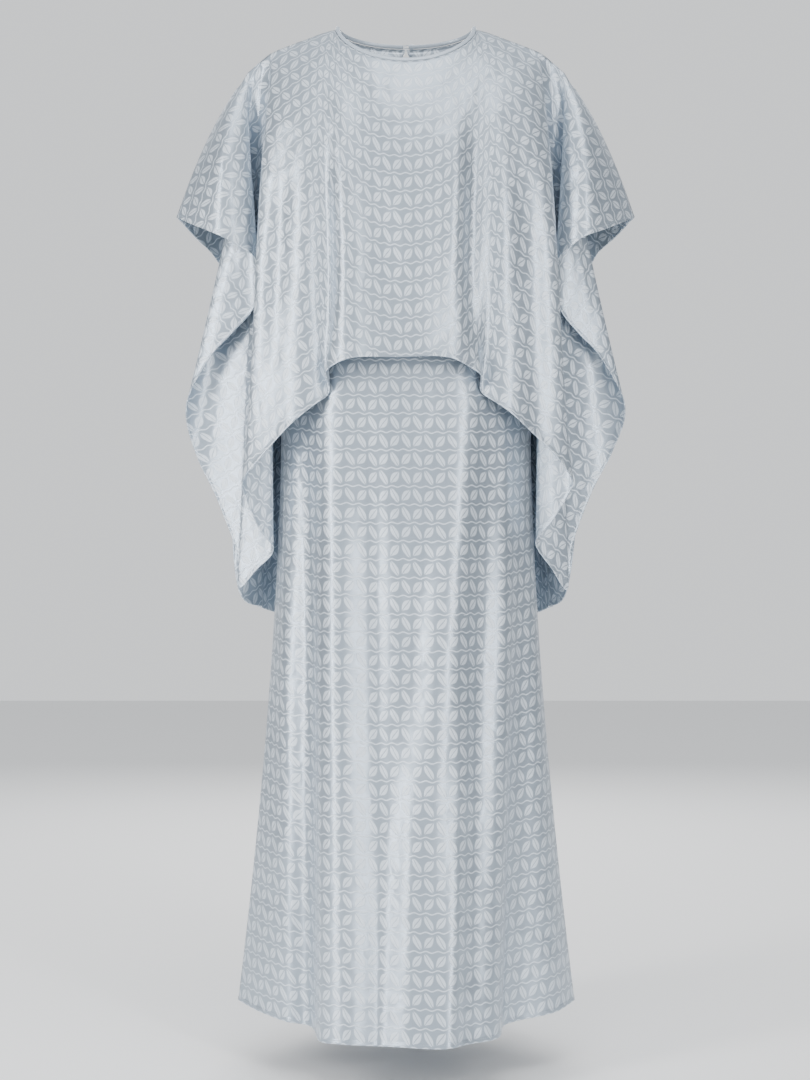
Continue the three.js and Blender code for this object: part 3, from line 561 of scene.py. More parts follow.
def fan_uv(points):
    """Where each point of a cape panel lies on its flat cut, in metres."""
    middle = len(points) // 2
    reach = points[:, int(points.shape[1] * FAN_SHARE)] - points[:, 0]
    reach /= np.linalg.norm(reach, axis=1)[:, None]
    turns = np.arccos(np.clip(np.sum(reach[1:] * reach[:-1], axis=1), -1, 1))
    angle = np.concatenate([[0], np.cumsum(turns)])
    angle -= angle[middle]
    steps = np.linalg.norm(np.diff(points[:, 0], axis=0), axis=1)
    half = (angle[1:] + angle[:-1]) / 2
    top_x = np.concatenate([[0], np.cumsum(steps * np.cos(half))])
    top_y = np.concatenate([[0], np.cumsum(steps * np.sin(half))])
    length = np.linalg.norm(np.diff(points, axis=1), axis=2)
    down = np.concatenate([np.zeros((len(points), 1)), np.cumsum(length, axis=1)], axis=1)
    u = (top_x - top_x[middle])[:, None] + down * np.sin(angle)[:, None]
    v = (top_y - top_y[middle])[:, None] - down * np.cos(angle)[:, None]
    return np.stack([u, v], -1) * MM


def tube_uv(points):
    """Where each point of a dress panel lies on its flat cut, measured from its hem, in metres."""
    middle = len(points) // 2
    steps = np.linalg.norm(np.diff(points[..., :2], axis=0), axis=2)
    u = np.concatenate([np.zeros((1, points.shape[1])), np.cumsum(steps, axis=0)])
    u -= u[middle]
    length = np.linalg.norm(np.diff(points, axis=1), axis=2)
    down = np.concatenate([np.zeros((len(points), 1)), np.cumsum(length, axis=1)], axis=1)
    return np.stack([u, down[:, -1:] - down], -1) * MM


def linked(name, data):
    """An object in the scene that shows the data."""
    obj = bpy.data.objects.new(name, data)
    bpy.context.scene.collection.objects.link(obj)
    return obj


def settle(obj, modifier):
    """Makes what a modifier gives the object's own plain mesh."""
    made = bpy.data.meshes.new_from_object(obj.evaluated_get(bpy.context.evaluated_depsgraph_get()))
    obj.modifiers.remove(modifier)
    obj.data = made


def mesh_object(name, vertices, faces, slots=None, uv=None):
    """A mesh object from points in millimetres, smooth, with its faces' material slots and its map."""
    mesh = bpy.data.meshes.new(name)
    mesh.from_pydata((np.asarray(vertices) * MM).tolist(), [], faces)
    mesh.polygons.foreach_set("use_smooth", [True] * len(faces))
    if slots is not None:
        mesh.polygons.foreach_set("material_index", slots)
    if uv is not None:
        layer = mesh.uv_layers.new(name="cut")
        corners = np.empty(len(mesh.loops), np.int32)
        mesh.loops.foreach_get("vertex_index", corners)
        layer.data.foreach_set("uv", np.asarray(uv)[corners].ravel())
    mesh.update()
    return linked(name, mesh)


def panel_faces(columns, rows, side):
    """Faces of a closed panel: outside, inside, and the rim between them by way of a middle line."""
    index = np.arange(columns * rows).reshape(columns, rows)
    outer = np.stack([index[:-1, :-1], index[:-1, 1:], index[1:, 1:], index[1:, :-1]], -1).reshape(-1, 4)
    if side == BACK:
        outer = outer[:, ::-1]
    inner = outer[:, ::-1] + columns * rows
    loop = np.concatenate([index[0, :-1], index[:-1, -1], index[-1, :0:-1], index[:0:-1, 0]])
    middle = 2 * columns * rows + np.arange(len(loop))
    following = np.roll(loop, -1)
    middle_next = np.roll(middle, -1)
    shift = columns * rows
    near = np.stack([following, loop, middle, middle_next], -1)
    far = np.stack([middle_next, middle, loop + shift, following + shift], -1)
    rim = np.concatenate([near, far])
    if side == BACK:
        rim = rim[:, ::-1]
    return outer, inner, rim, loop


def cloth_panel(name, points, side, uv, on_seam, thickness, lift):
    """A closed cloth wall on a panel's points, with a turned hem along its last rows."""
    columns, rows = points.shape[:2]
    normals = grid_normals(points, side)
    points = points + normals * lift[..., None]
    normals = grid_normals(points, side)
    swell = np.zeros(rows)
    swell[-len(HEM_PROFILE) :] = [extra for _, extra in HEM_PROFILE]
    outer = points + normals * swell[None, :, None]
    inner = points - normals * (thickness + swell[None, :, None])
    held = np.zeros((columns, rows), bool)
    held[[0, -1]] = True
    held[on_seam, 0] = True
    for sheet in (outer, inner):
        depth = sheet[..., 1]
        kept = np.minimum(depth, -SEAM_GAP / 2) if side == FRONT else np.maximum(depth, SEAM_GAP / 2)
        sheet[..., 1] = np.where(held, kept, depth)
    outer_faces, inner_faces, rim, loop = panel_faces(columns, rows, side)
    flat_outer = outer.reshape(-1, 3)
    flat_inner = inner.reshape(-1, 3)
    middle = (flat_outer[loop] + flat_inner[loop]) / 2
    vertices = np.concatenate([flat_outer, flat_inner, middle])
    hem_row = np.tile(np.arange(rows - 1) >= rows - len(HEM_PROFILE) + 2, columns - 1)
    slots = np.concatenate([np.where(hem_row, 2, 0), np.where(hem_row, 2, 1), np.full(len(rim), 2)])
    faces = np.concatenate([outer_faces, inner_faces, rim])
    flat_uv = uv.reshape(-1, 2)
    all_uv = np.concatenate([flat_uv, flat_uv, flat_uv[loop]])
    obj = mesh_object(name, vertices, faces.tolist(), slots.astype(np.int32), all_uv)
    return obj, outer


def swept(name, sections):
    """A closed strip from one ring of points after another."""
    count, size = sections.shape[:2]
    index = np.arange(count * size).reshape(count, size)
    after = np.roll(index, -1, axis=1)
    body = np.stack([index[:-1], after[:-1], after[1:], index[1:]], -1).reshape(-1, 4).tolist()
    faces = body + [index[0][::-1].tolist(), index[-1].tolist()]
    step = np.linalg.norm(np.diff(sections.mean(axis=1), axis=0), axis=1)
    along = np.concatenate([[0], np.cumsum(step)]) * MM
    girth = np.linspace(0, 1, size, endpoint=False) * 0.02
    uv = np.stack(np.broadcast_arrays(along[:, None], girth[None, :]), -1).reshape(-1, 2)
    return mesh_object(name, sections.reshape(-1, 3), faces, None, uv)


class Number:
    """A number in a shader, which takes ordinary arithmetic."""

    def __init__(self, shader, socket):
        self.shader = shader
        self.socket = socket

    def math(self, operation, *others):
        """This number put through a Math node with the others."""
        node = self.shader.tree.nodes.new("ShaderNodeMath")
        node.operation = operation
        for place, value in enumerate((self, *others)):
            self.shader.put(node.inputs[place], value)
        return Number(self.shader, node.outputs[0])

    def __add__(self, other):
        return self.math("ADD", other)

    def __sub__(self, other):
        return self.math("SUBTRACT", other)

    def __mul__(self, other):
        return self.math("MULTIPLY", other)

    def __truediv__(self, other):
        return self.math("DIVIDE", other)

    def __rsub__(self, other):
        return (self * -1.0) + other

    __radd__ = __add__
    __rmul__ = __mul__

    def step(self, low, high):
        """0 below low and 1 above high, or the other way round, and smooth between them."""
        node = self.shader.node("ShaderNodeMapRange", Value=self, From_Min=low, From_Max=high)
        node.interpolation_type = "SMOOTHSTEP"
        return Number(self.shader, node.outputs[0])


class Shader:
    """A material's node tree."""

    def __init__(self, name):
        self.material = bpy.data.materials.new(name)
        self.material.use_nodes = True
        self.tree = self.material.node_tree
        self.surface = self.tree.nodes["Principled BSDF"]

    def put(self, socket, value):
        """Links or sets a socket."""
        value = value.socket if isinstance(value, Number) else value
        if isinstance(value, bpy.types.NodeSocket):
            self.tree.links.new(value, socket)
        else:
            socket.default_value = value

    def node(self, kind, **inputs):
        """A node with its inputs set, a space in an input's name written as _."""
        node = self.tree.nodes.new(kind)
        for key, value in inputs.items():
            self.put(node.inputs[key.replace("_", " ")], value)
        return node

    def noise(self, scale, detail, distortion=0.0):
        """Noise on Object coordinates, a scale of 1 being one cloud a metre."""
        place = self.node("ShaderNodeTexCoord").outputs["Object"]
        settings = {"Scale": scale, "Detail": detail, "Distortion": distortion}
        node = self.node("ShaderNodeTexNoise", Vector=place, **settings)
        return Number(self, node.outputs[0])

    def cut_place(self):
        """Place across and along the piece's own flat cut, in metres."""
        uv = self.node("ShaderNodeUVMap")
        uv.uv_map = "cut"
        parts = self.node("ShaderNodeSeparateXYZ", Vector=uv.outputs[0])
        return Number(self, parts.outputs[0]), Number(self, parts.outputs[1])

    def mix(self, factor, first, second):
        """A colour between two colours."""
        node = self.tree.nodes.new("ShaderNodeMix")
        node.data_type = "RGBA"
        for place, value in ((0, factor), (6, first), (7, second)):
            self.put(node.inputs[place], value)
        return node.outputs[2]

    def bump(self, height, distance, strength, below=None):
        """A bump of that depth in metres, on top of the one below."""
        node = self.node("ShaderNodeBump", Strength=strength, Distance=distance, Height=height)
        if below is not None:
            self.put(node.inputs["Normal"], below)
        return node.outputs[0]

    def finish(self, **inputs):
        """The material, with its surface's inputs set."""
        for key, value in inputs.items():
            self.put(self.surface.inputs[key.replace("_", " ")], value)
        return self.material


def darker(colour, share):
    """A colour times one share, or times one for each of its three channels."""
    return [value * part for value, part in zip(colour, np.broadcast_to(share, 3).tolist())] + [1]


def leaf(across, along, lean):
    """A pointed leaf with a midrib, 1 inside it, from places in millimetres off its centre."""
    turn = math.radians(lean)
    length = across * math.cos(turn) + along * math.sin(turn)
    width = (along * math.cos(turn) - across * math.sin(turn)).math("ABSOLUTE")
    blade = (length * length * LEAF_HALF_LENGTH**-2 + width * LEAF_HALF_WIDTH**-1).step(*LEAF_EDGE)
    return blade * width.step(LEAF_RIB, LEAF_RIB * 2)


def woven_figure(shader, sizes):
    """The woven figure, 1 inside it: rows of leaves leaning left and right between thin wavy stems."""
    width, length = shader.cut_place()
    across = width / sizes.figure_width
    wave = (across * (4 * math.pi)).math("SINE") * STEM_WAVE
    along = length / sizes.figure_height + wave
    shifted = across + along.math("FLOOR") * 0.5
    height = (along.math("FRACT") - 0.5) * (sizes.figure_height / MM)
    leaves = []
    for start, lean in ((0.0, LEAF_LEAN), (0.5, 180 - LEAF_LEAN)):
        place = ((shifted + start).math("FRACT") - 0.5) * (sizes.figure_width / MM)
        leaves.append(leaf(place, height, lean))
    off_stem = sizes.figure_height / MM / 2 - height.math("ABSOLUTE")
    stem = off_stem.step(STEM_HALF_WIDTH * 1.5, STEM_HALF_WIDTH)
    return leaves[0].math("MAXIMUM", leaves[1]).math("MAXIMUM", stem)


def satin(name, colours, sizes, wrong_side=False):
    """Satin jacquard: a glossy ground with a duller, paler woven figure. For the inside, a darker ground:
    partly the cloth's duller back, partly painted shade.
    """
    shader = Shader(name)
    figure = woven_figure(shader, sizes)
    cloud = shader.noise(5.5, 3.0)
    thread = shader.noise(1500.0, 1.0)
    silk = shader.noise(16.0, 2.0, 0.6)
    # The inside's darker ground is partly the cloth's own back and partly painted shade for turned faces in
    # shadow.
    ground, lines = (colours.wrong_side, colours.ground) if wrong_side else (colours.ground, colours.figure)
    shaded = shader.mix(cloud.step(0.3, 0.75), darker(ground, 0.93), list(ground))
    tint = shader.mix(figure * (0.5 + cloud * 0.6), shaded, list(lines))
    tint = shader.mix(thread.step(0.35, 0.7) * 0.16, tint, darker(ground, 0.8))
    rough = 0.3 + figure * 0.2 + cloud * 0.08
    weave = shader.bump(thread, 0.00012, 0.35)
    raised = shader.bump(figure, 0.00022, 0.45, weave)
    soft = shader.bump(silk, 0.007, 0.5, raised)
    return shader.finish(
        Base_Color=tint,
        Roughness=rough,
        Metallic=0.6,
        Normal=soft,
        Sheen_Weight=0.12,
        Sheen_Roughness=0.4,
        Specular_IOR_Level=0.6,
    )


def plain_satin(name, colour, scale=1.0):
    """Plain satin for hems and bindings, with a fine weave and soft puckers."""
    shader = Shader(name)
    thread = shader.noise(1300.0, 1.0)
    pucker = shader.noise(150.0, 1.0)
    tint = shader.mix(thread.step(0.3, 0.75) * 0.25, list(colour), darker(colour, 0.82))
    bump = shader.bump(pucker, 0.0006 * scale, 0.5, shader.bump(thread, 0.0001, 0.4))
    return shader.finish(
        Base_Color=tint,
        Roughness=0.32 + pucker * 0.14,
        Metallic=0.2,
        Normal=bump,
        Sheen_Weight=0.12,
    )


def pearl(name, colour):
    """Pearly button: clouded colour under a clear coat."""
    shader = Shader(name)
    cloud = shader.noise(260.0, 3.0, 1.5)
    tint = shader.mix(cloud.step(0.35, 0.7), list(colour), darker(colour, (0.86, 0.9, 0.97)))
    bump = shader.bump(cloud, 0.0002, 0.2)
    return shader.finish(Base_Color=tint, Roughness=0.18 + cloud * 0.14, Normal=bump, Coat_Weight=0.6)


def cord_material(name, colour):
    """Corded thread: spiral plies along its own map, with painted shade darkening the grooves between them.
    """
    shader = Shader(name)
    along, round_it = shader.cut_place()
    ply = along * 900.0 + round_it * 100.0
    groove = (ply.math("FRACT") - 0.5).math("ABSOLUTE") * 2.0
    # Painted shade: the colour darkens towards the grooves between the plies.
    tint = shader.mix(groove, list(colour), darker(colour, 0.78))
    bump = shader.bump(groove, 0.0003, 0.6)
    return shader.finish(Base_Color=tint, Roughness=0.5 + groove * 0.15, Normal=bump)


def stitch_group():
    """Geometry nodes: short stitches along a path, real and with their material."""
    group = bpy.data.node_groups.new("Stitches along a path", "GeometryNodeTree")
    face = group.interface
    face.new_socket("Path", in_out="INPUT", socket_type="NodeSocketGeometry")
    for name, value in (("Pitch", 0.003), ("Length", 0.0022), ("Thickness", 0.0003)):
        socket = face.new_socket(name, in_out="INPUT", socket_type="NodeSocketFloat")
        socket.subtype = "DISTANCE"
        socket.default_value = value
    face.new_socket("Thread", in_out="INPUT", socket_type="NodeSocketMaterial")
    face.new_socket("Stitches", in_out="OUTPUT", socket_type="NodeSocketGeometry")
    nodes, links = group.nodes, group.links
    source = nodes.new("NodeGroupInput")
    curve = nodes.new("GeometryNodeMeshToCurve")
    points = nodes.new("GeometryNodeResampleCurve")
    points.mode = "LENGTH"
    tangent = nodes.new("GeometryNodeInputTangent")
    align = nodes.new("FunctionNodeAlignRotationToVector")
    align.axis = "Z"
    stitch = nodes.new("GeometryNodeMeshUVSphere")
    stitch.inputs["Segments"].default_value = 6
    stitch.inputs["Rings"].default_value = 4
    stitch.inputs["Radius"].default_value = 0.5
    size = nodes.new("ShaderNodeCombineXYZ")
    place = nodes.new("GeometryNodeInstanceOnPoints")
    real = nodes.new("GeometryNodeRealizeInstances")
    thread = nodes.new("GeometryNodeSetMaterial")
    result = nodes.new("NodeGroupOutput")
    for start, end in (
        (source.outputs["Path"], curve.inputs["Mesh"]),
        (curve.outputs["Curve"], points.inputs["Curve"]),
        (source.outputs["Pitch"], points.inputs["Length"]),
        (tangent.outputs[0], align.inputs["Vector"]),
        (source.outputs["Thickness"], size.inputs[0]),
        (source.outputs["Thickness"], size.inputs[1]),
        (source.outputs["Length"], size.inputs[2]),
        (points.outputs["Curve"], place.inputs["Points"]),
        (stitch.outputs["Mesh"], place.inputs["Instance"]),
        (align.outputs[0], place.inputs["Rotation"]),
        (size.outputs[0], place.inputs["Scale"]),
        (place.outputs["Instances"], real.inputs["Geometry"]),
        (real.outputs[0], thread.inputs["Geometry"]),
        (source.outputs["Thread"], thread.inputs["Material"]),
        (thread.outputs[0], result.inputs["Stitches"]),
    ):
        links.new(start, end)
    return group


def stitched(name, paths, sizes, material):
    """Stitches along lines of points, as a plain mesh."""
    vertices = np.concatenate(paths) * MM
    edges = []
    start = 0
    for path in paths:
        edges += [(start + k, start + k + 1) for k in range(len(path) - 1)]
        start += len(path)
    mesh = bpy.data.meshes.new(name)
    mesh.from_pydata(vertices.tolist(), edges, [])
    obj = linked(name, mesh)
    group = bpy.data.node_groups.get("Stitches along a path") or stitch_group()
    modifier = obj.modifiers.new("Stitches", "NODES")
    modifier.node_group = group
    values = {
        "Pitch": sizes.stitch_pitch,
        "Length": sizes.stitch_length,
        "Thickness": sizes.stitch_thickness,
        "Thread": material,
    }
    for item in group.interface.items_tree:
        if item.name in values:
            modifier[item.identifier] = values[item.name]
    settle(obj, modifier)
    obj.data.polygons.foreach_set("use_smooth", [True] * len(obj.data.polygons))
    return obj


def keyhole_side(inset, start):
    """Half widths and heights of the keyhole from a row of its table to its foot, less an inset."""
    last = len(KEYHOLE_Z) - 1
    places = np.arange(start * 8, last * 8 + 1) / 8
    half = np.maximum(smooth(KEYHOLE_HALF, places) - inset, 0)
    return half, smooth(KEYHOLE_Z, places) + inset * places / last


def cut_keyhole(obj):
    """Cuts the keyhole through a back panel."""
    half, z = keyhole_side(0, 0)
    outline = list(zip(half, z)) + list(zip(-half[::-1], z[::-1]))
    count = len(outline)
    vertices = [(x, depth, level) for depth in KEYHOLE_CUT for x, level in outline]
    faces = [tuple(range(count)), tuple(range(2 * count - 1, count - 1, -1))]
    faces += [(k, k + count, (k + 1) % count + count, (k + 1) % count) for k in range(count)]
    cutter = mesh_object("keyhole_cutter", vertices, faces)
    shape = bmesh.new()
    shape.from_mesh(cutter.data)
    bmesh.ops.recalc_face_normals(shape, faces=shape.faces)
    shape.to_mesh(cutter.data)
    shape.free()
    modifier = obj.modifiers.new("Keyhole", "BOOLEAN")
    modifier.operation = "DIFFERENCE"
    modifier.solver = "FAST"
    modifier.object = cutter
    settle(obj, modifier)
    bpy.data.objects.remove(cutter)


def piece(obj, materials, nodes, slot):
    """Gives a piece its materials and ties it to the frame."""
    obj.data.materials.clear()
    for material in materials:
        obj.data.materials.append(material)
    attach(obj, "root")
    if nodes:
        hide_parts(*nodes)
    return obj


def material(name, make, *arguments):
    """The material of that name, made once."""
    return bpy.data.materials.get(name) or make(name, *arguments)


def cloth_materials(scene):
    """Outside, inside and hem of the cloth."""
    sizes, colours = scene.dress_sizes, scene.dress_colours
    return [
        material("satin_jacquard", satin, colours, sizes),
        material("satin_wrong_side", satin, colours, sizes, True),
        material("hem_satin", plain_satin, colours.hem),
    ]


# The outer face of each panel once it is built, as a grid of points in millimetres
OUTER_FACES = {}


def ease_neck_point(points, top, shares):
    """Rounds off the line that a cape panel would have below each neck point, away from its edges."""
    near = np.exp(-(((np.abs(top) - NECK_HALF_WIDTH) / NECK_EASE_REACH) ** 2))[:, None]
    weight = (near * ease(shares / NECK_EASE_START) * ease((1 - shares) / NECK_EASE_END))[1:-1, :, None]
    for _ in range(NECK_EASE_PASSES):
        middle = (points[:-2] + points[2:]) / 2
        points[1:-1] += (middle - points[1:-1]) * weight * 0.5
    return points


def build_panel(kind, side, lines, points_of, creases, uv_of, scene):
    """Builds one panel of the cape or the dress and keeps what the trim needs of it."""
    last = 2 * len(lines) - 2
    coarse = points_of(side, np.arange(last + 1.0), np.tile(np.linspace(0, 1, WIDTH_SAMPLES), (last + 1, 1)))
    places = gap_places(coarse, scene.dress_sizes.column_spacing / MM)
    first = points_of(side, places, np.tile(np.linspace(0, 1, LENGTH_SAMPLES), (len(places), 1)))
    lengths = np.linalg.norm(np.diff(first, axis=1), axis=2).sum(axis=1)
    shares = row_shares(lengths, PANEL_ROWS[kind], ROW_POWER[kind])
    shares = even_rows(points_of(side, places, shares), shares)
    points = points_of(side, places, shares)
    if kind == "cape":
        where = places - last / 2
        top = straight(both_halves(lines, ("top",))["top"], places)
        on_seam = np.abs(top) > NECK_HALF_WIDTH - SLACK
        points = ease_neck_point(points, top, shares)
    else:
        where = straight(both_halves(lines, ("turn",))["turn"], places)
        on_seam = (np.abs(where) > NECK_TURN - SLACK) & (np.abs(where) < ARMHOLE_TURN[0])
    lift = crease_depths(creases, where, shares) * scene.dress_sizes.crease_scale
    if kind == "dress":
        lift *= ease((UNDER_CAPE_Z - points[..., 2]) / UNDER_CAPE_FADE)
    edge_fade = np.clip(np.minimum(places, last - places) / CREASE_EDGE_FADE, 0, 1)[:, None]
    lift *= edge_fade * np.clip(shares / CREASE_TOP_FADE, 0, 1)
    name = f"{kind}_{'front' if side == FRONT else 'back'}"
    thickness = scene.dress_sizes.cloth / MM
    obj, outer = cloth_panel(name + "_cloth", points, side, uv_of(points), on_seam, thickness, lift)
    OUTER_FACES[name] = outer
    if side == BACK:
        cut_keyhole(obj)
    return piece(obj, cloth_materials(scene), [name], kind + "_satin")


def centre_depth(name, z):
    """Depth of a panel's centre line at a height."""
    outer = OUTER_FACES[name]
    line = outer[len(outer) // 2][::-1]
    return np.interp(z, line[:, 2], line[:, 1])


def frames_round_neck():
    """Frames all round the neckline, from one side of the keyhole round the front to the other."""
    start = KEYHOLE_HALF[0] + SEAM_GAP
    back = np.linspace(start, NECK_HALF_WIDTH, NECK_SAMPLES[BACK])
    front = np.linspace(-NECK_HALF_WIDTH, NECK_HALF_WIDTH, NECK_SAMPLES[FRONT])
    parts = [neck_frames(-back, BACK), neck_frames(front[1:-1], FRONT), neck_frames(back[::-1], BACK)]
    point, up, outward = (np.concatenate(values) for values in zip(*parts))
    for _ in range(NECK_FRAME_PASSES):
        for vectors in (up, outward):
            vectors[1:-1] = vectors[:-2] * 0.25 + vectors[1:-1] * 0.5 + vectors[2:] * 0.25
            vectors /= np.linalg.norm(vectors, axis=1)[:, None]
    return point, up, outward


def rounded_section(low, high, near, far, corner):
    """Corners of a rounded rectangle, as pairs of up and out."""
    pairs = []
    centres = ((low, near, 180), (high, near, 90), (high, far, 0), (low, far, -90))
    for up, out, turn in centres:
        middle_up = up + math.copysign(corner, (low + high) / 2 - up)
        middle_out = out + math.copysign(corner, (near + far) / 2 - out)
        for extra in (90, 45, 0):
            angle = math.radians(turn + extra)
            pairs.append((middle_up + corner * math.sin(angle), middle_out + corner * math.cos(angle)))
    return pairs


def length_property(name, description, default):
    """A length for the property group, in metres."""
    return bpy.props.FloatProperty(name=name, description=description, default=default, unit="LENGTH")


class DressSizes(bpy.types.PropertyGroup):
    """Sizes of the cloth, its woven figure and its sewing."""

    cloth: length_property("Cloth", "Thickness of the cloth", 0.0009)
    column_spacing: length_property("Column spacing", "Widest gap between a panel's columns", 0.0065)
    figure_width: length_property("Figure width", "Width of one woven figure", 0.031)
    figure_height: length_property("Figure height", "Height of one woven figure", 0.025)
    crease_scale: bpy.props.FloatProperty(
        name="Crease scale", description="How strong the hand-placed creases are", default=1.5
    )
    stitch_pitch: length_property("Stitch pitch", "Distance from stitch to stitch", 0.0034)
    stitch_length: length_property("Stitch length", "Length of one stitch", 0.0025)
    stitch_thickness: length_property("Stitch thickness", "Thickness of the sewing thread", 0.0004)


def colour_property(name, description, default):
    """A colour for the property group."""
    return bpy.props.FloatVectorProperty(
        name=name, description=description, default=default, size=4, subtype="COLOR", min=0, max=1
    )


class DressColours(bpy.types.PropertyGroup):
    """Colours of the cloth and its trim."""

    ground: colour_property("Ground", "Glossy ground of the satin", (0.4, 0.47, 0.55, 1))
    figure: colour_property("Figure", "Woven figure of the satin", (0.78, 0.85, 0.92, 1))
    # Inside ground, darker than the outside's: partly the cloth's duller back, partly painted shade for
    # turned faces in shadow.
    wrong_side: colour_property("Wrong side", "Inside of the cloth", (0.27, 0.335, 0.41, 1))
    hem: colour_property("Hem", "Turned hems", (0.74, 0.8, 0.86, 1))
    binding: colour_property("Binding", "Neck and keyhole binding", (0.46, 0.53, 0.61, 1))
    thread: colour_property("Thread", "Sewing thread and loop", (0.56, 0.63, 0.7, 1))
    button: colour_property("Button", "Pearly button", (0.84, 0.88, 0.9, 1))
    floor: colour_property("Floor", "Floor of the stage", (0.93, 0.935, 0.94, 1))


class BuildCape(bpy.types.Operator):
    """Build the front and back of the cape"""

    bl_idname = "dress.build_cape"
    bl_label = "Cape"

    def execute(self, context):
        for side in (FRONT, BACK):
            lines, creases = CAPE_LINES[side], CAPE_CREASES[side]
            build_panel("cape", side, lines, cape_points, creases, fan_uv, context.scene)
        return {"FINISHED"}


class BuildDress(bpy.types.Operator):
    """Build the front and back of the dress"""

    bl_idname = "dress.build_dress"
    bl_label = "Dress"

    def execute(self, context):
        for side in (FRONT, BACK):
            lines, creases = DRESS_LINES[side], DRESS_CREASES[side]
            build_panel("dress", side, lines, dress_points, creases, tube_uv, context.scene)
        return {"FINISHED"}


class BuildTrim(bpy.types.Operator):
    """Build the bindings, the button and its loop"""

    bl_idname = "dress.build_trim"
    bl_label = "Bindings, button and loop"

    def execute(self, context):
        colours = context.scene.dress_colours
        binding = material("binding_satin", plain_satin, colours.binding)
        point, up, outward = frames_round_neck()
        low = SEAM_GAP + BINDING_MARGIN
        near = -(2 * CLOTH + LAYER_GAP + BINDING_MARGIN)
        section = rounded_section(low, low + BINDING_HEIGHT, near, BINDING_MARGIN, BINDING_CORNER)
        rings = np.stack([point + up * a + outward * b for a, b in section], 1)
        piece(swept("neck_binding_cloth", rings), [binding], ["neck_binding"], "binding")
        self.keyhole(binding)
        self.button(material("pearl_button", pearl, colours.button))
        self.loop(material("loop_cord", cord_material, colours.thread))
        return {"FINISHED"}

    def keyhole(self, binding):
        """The band round the keyhole."""
        half, z = keyhole_side(SEAM_GAP + 0.1, 1)
        inner_half, inner_z = keyhole_side(SEAM_GAP + KEYHOLE_BAND, 1)
        far = centre_depth("cape_back", z) + BINDING_MARGIN
        near = centre_depth("dress_back", z) - CLOTH - BINDING_MARGIN
        middle = (far + near) / 2
        mid_half = (half + inner_half) / 2
        mid_z = (z + inner_z) / 2
        corners = (
            (half, z, near),
            (mid_half, mid_z, near - 0.15),
            (inner_half, inner_z, near + 0.3),
            (inner_half - 0.1, inner_z, middle),
            (inner_half, inner_z, far - 0.3),
            (mid_half, mid_z, far + 0.15),
            (half, z, far),
            (half, z, middle),
        )
        rings = []
        for sign in (1, -1):
            side = [np.stack([sign * across, depth, level], -1) for across, level, depth in corners]
            rings.append(np.stack(side, 1))
        sections = np.concatenate([rings[0], rings[1][::-1]])
        piece(swept("keyhole_binding_cloth", sections), [binding], ["keyhole_binding"], "binding")

    def seat(self, lift):
        """Where the button and loop sit, as a turn and a place."""
        point, up, outward = (value[0] for value in neck_frames(np.array([float(BUTTON_OFFSET)]), BACK))
        turn = Vector((0, 1, 0)).rotation_difference(Vector(outward)).to_matrix()
        rise = SEAM_GAP + BINDING_MARGIN + BINDING_HEIGHT / 2
        return np.array(turn), point + up * rise + outward * (BINDING_MARGIN + lift)

    def button(self, shade):
        """The button: a low pearl dome on its shank."""
        top = BUTTON_SHANK_HEIGHT + BUTTON_HEAD_HEIGHT
        head = [(math.sin(a), math.cos(a)) for a in np.linspace(2.4, 0.12, 18)]
        middle = BUTTON_SHANK_HEIGHT + BUTTON_HEAD_HEIGHT * 0.45
        profile = [(BUTTON_SHANK_RADIUS, 0.0), (BUTTON_SHANK_RADIUS, BUTTON_SHANK_HEIGHT * 0.9)]
        for across, rise in head:
            scale = top - middle if rise > 0 else middle - BUTTON_SHANK_HEIGHT
            profile.append((BUTTON_HEAD_RADIUS * across, middle + scale * max(rise, -1)))
        turns = np.linspace(0, 2 * math.pi, BUTTON_SIDES, endpoint=False)
        rings = np.array([[(r * math.cos(a), h, -r * math.sin(a)) for a in turns] for r, h in profile])
        turn, base = self.seat(SEAM_GAP)
        piece(swept("button_pearl", rings @ turn.T + base), [shade], ["button"], "button")

    def loop(self, shade):
        """The loop: a cord round the button's shank."""
        bend = BUTTON_SHANK_RADIUS + SEAM_GAP + LOOP_RADIUS
        reach = BUTTON_OFFSET + LOOP_TAIL
        rise = SEAM_GAP + LOOP_RADIUS
        path = [(-reach, rise, bend * 0.6), (-reach / 2, rise, bend * 0.9)]
        for turn in range(90, -91, -30):
            angle = math.radians(turn)
            path.append((bend * math.cos(angle), rise, bend * math.sin(angle)))
        path += [(-reach / 2, rise, -bend * 0.9), (-reach, rise, -bend * 0.6)]
        path = np.array(path)
        places = np.linspace(0, len(path) - 1, LOOP_STEPS)
        line = np.stack([smooth(path[:, axis], places) for axis in range(3)], -1)
        tangent = np.gradient(line, axis=0)
        tangent /= np.linalg.norm(tangent, axis=1)[:, None]
        up = np.tile([0.0, 1.0, 0.0], (len(line), 1))
        side = np.cross(tangent, up)
        turns = np.linspace(0, 2 * math.pi, LOOP_SIDES, endpoint=False)
        rings = np.stack([line + LOOP_RADIUS * (up * math.cos(a) + side * math.sin(a)) for a in turns], 1)
        turn, base = self.seat(0)
        piece(swept("loop_cord", rings @ turn.T + base), [shade], ["button_loop"], "loop")


